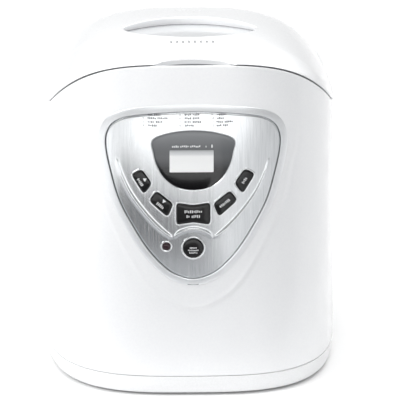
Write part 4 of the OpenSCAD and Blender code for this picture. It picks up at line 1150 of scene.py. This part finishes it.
def build_paddle():
    z0 = 93.0
    hub = turned([(4.1, 0), (7.6, 0), (8, 0.5), (8, 13.8), (7.2, 15), (4.1, 15)],
                 (0, PAN_Y, z0), "z", 48)
    obj = raw_object("kneading_paddle", *hub)
    outline = soften([[3, 0.5], [5, 15], [7, 15], [20, 28], [30, 31], [36, 24], [38, 6],
                      [36, 0.5]], 2.2, 90)
    rows = []
    for y, inset in ((-2.4, 1.0), (-1.6, 0.25), (0, 0), (1.6, 0.25), (2.4, 1.0)):
        loop = grow(outline, -inset)
        rows.append(np.stack([loop[:, 0], np.full(len(loop), PAN_Y + y), z0 + loop[:, 1]], -1))
    c = outline.mean(0)
    blade = loft(rows, first=[c[0], PAN_Y - 2.4, z0 + c[1]], last=[c[0], PAN_Y + 2.4, z0 + c[1]])
    combine(obj, [blade], "UNION")
    combine(obj, [turned([(4.1, z0 - 1), (4.1, z0 + 40)], (0, PAN_Y, 0), "z", 40)])
    finish(obj, "mixer", NON_STICK, ["kneading_paddle"])


# ---------------------------------------------------------------- every other CAD piece
CARRIED = [
    (RUBBER, "rubber_feet drive_belt"),
    (ZINC, "base_screws chassis_plate chassis_spacers element_supports pan_socket"),
    (ZINC, "drive_coupling motor_bracket motor_screws board_screws lid_screws"),
    (CHAMBER, "oven_chamber"),
    (LINER_WHITE, "chamber_deck lid_liner"),
    (SHEATH, "heating_element"),
    (CERAMIC, "element_insulators thermal_fuse"),
    (BRONZE, "temperature_sensor sleeve_bearings shaft_bush"),
    (CAST, "bearing_housing pan_base_ring wing_coupling"),
    (CHROME, "drive_shaft motor_shaft hinge_pins pan_shaft"),
    (BLACK_PLASTIC, "large_pulley small_pulley transformer cord_gland panel_carrier"),
    (BLACK_PLASTIC, "tact_switches buzzer"),
    (MOTOR_GREY, "motor"),
    (BOARD_GREEN, "power_board control_board"),
    (BLUE_SLEEVE, "capacitor"),
    (RIBBON_GREY, "ribbon_cable"),
    (LCD_GREY_PAINTED_SHADOW, "lcd_module"),
    (SILICONE, "window_gasket"),
]


def dress_carried():
    for material, names in CARRIED:
        for name in names.split():
            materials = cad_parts[name].data.materials
            materials.clear()
            materials.append(material)


# ---------------------------------------------------------------- studio
def area_light(name, place, aim, size, power):
    data = bpy.data.lights.new(name, "AREA")
    data.shape, data.size, data.size_y = "RECTANGLE", size[0], size[1]
    data.energy = power
    obj = bpy.data.objects.new(name, data)
    obj.location = place
    obj.rotation_euler = (Vector(aim) - Vector(place)).to_track_quat("-Z", "Y").to_euler()
    bpy.context.scene.collection.objects.link(obj)


def flag(name, low, high, height, tone):
    """Dark card on the floor, which only bounced and mirrored light can see."""
    mesh = bpy.data.meshes.new(name)
    corners = [(low[0], low[1]), (high[0], low[1]), (high[0], high[1]), (low[0], high[1])]
    mesh.from_pydata([(x, y, height) for x, y in corners], [], [(0, 1, 2, 3)])
    card = bpy.data.objects.new(name, mesh)
    mesh.materials.append(speckled(name + "_cloth", tone, tone, 0.9, scale=50, bump=0.0,
                                   specular=0.0))
    bpy.context.scene.collection.objects.link(card)
    card.visible_camera = False
    card.visible_shadow = False
    card.visible_transmission = False
    return card


def build_studio():
    scene = bpy.context.scene
    scene.view_settings.view_transform = "Standard"
    world = bpy.data.worlds.new("studio")
    world.use_nodes = True
    background = world.node_tree.nodes["Background"]
    background.inputs["Color"].default_value = (1, 1, 1, 1)
    background.inputs["Strength"].default_value = 0.40
    scene.world = world
    size = 12.0
    mesh = bpy.data.meshes.new("floor")
    mesh.from_pydata([(-size, -size, 0), (size, -size, 0), (size, size, 0), (-size, size, 0)], [],
                     [(0, 1, 2, 3)])
    floor = bpy.data.objects.new("floor", mesh)
    mesh.materials.append(speckled("floor_pale", (250, 250, 250), (252, 252, 252), 0.6,
                                   scale=4, bump=0.0, specular=0.2))
    scene.collection.objects.link(floor)
    flag("far_flag", (-0.48, -0.82), (0.06, -0.52), 0.004, (66, 66, 68))
    flag("near_flag", (-0.48, -0.52), (0.10, -0.26), 0.004, (165, 166, 168))
    shade = flag("side_shade", (0.12, -1.3), (1.5, -0.22), 0.003, (150, 151, 153))
    shade.visible_glossy = False
    area_light("key", (-2.0, -0.9, 1.7), (0, 0, 0.15), (1.5, 1.5), 34)
    area_light("top", (0.0, 0.3, 2.4), (0, 0.3, 0), (2.6, 2.6), 56)
    area_light("front", (0.2, -3.1, 1.7), (0, 0, 0.2), (2.0, 0.9), 13)
    area_light("high", (0.9, -1.0, 2.3), (0.1, -0.1, 0.25), (0.9, 0.9), 10)
    area_light("strip", (0, -1.2, 0.05), (0, -0.17, 0.26), (0.9, 0.14), 0.45)


def build_camera():
    elevation, azimuth, roll = (math.radians(v) for v in (18.59, -1.485, 0.087))
    distance, focal, aim = 3.5, 327.9, Vector((0.01066, 0, 0.13434))
    back = Vector((math.sin(azimuth) * math.cos(elevation),
                   -math.cos(azimuth) * math.cos(elevation), math.sin(elevation)))
    data = bpy.data.cameras.new("camera")
    data.lens, data.sensor_width = focal, 36.0
    camera = bpy.data.objects.new("camera", data)
    camera.location = aim + back * distance
    turn = back.to_track_quat("Z", "Y").to_matrix()
    camera.rotation_euler = (turn @ Matrix.Rotation(roll, 3, Vector((0, 0, 1)))).to_euler()
    data.clip_end = 40
    bpy.context.scene.collection.objects.link(camera)
    bpy.context.scene.camera = camera


dress_carried()
build_housing()
build_base()
build_lid()
build_scoop_wall()
build_window()
build_plate()
build_bezel()
build_lens()
build_keys()
build_light()
build_programme_list()
build_pan()
build_handle()
build_paddle()
build_studio()
build_camera()
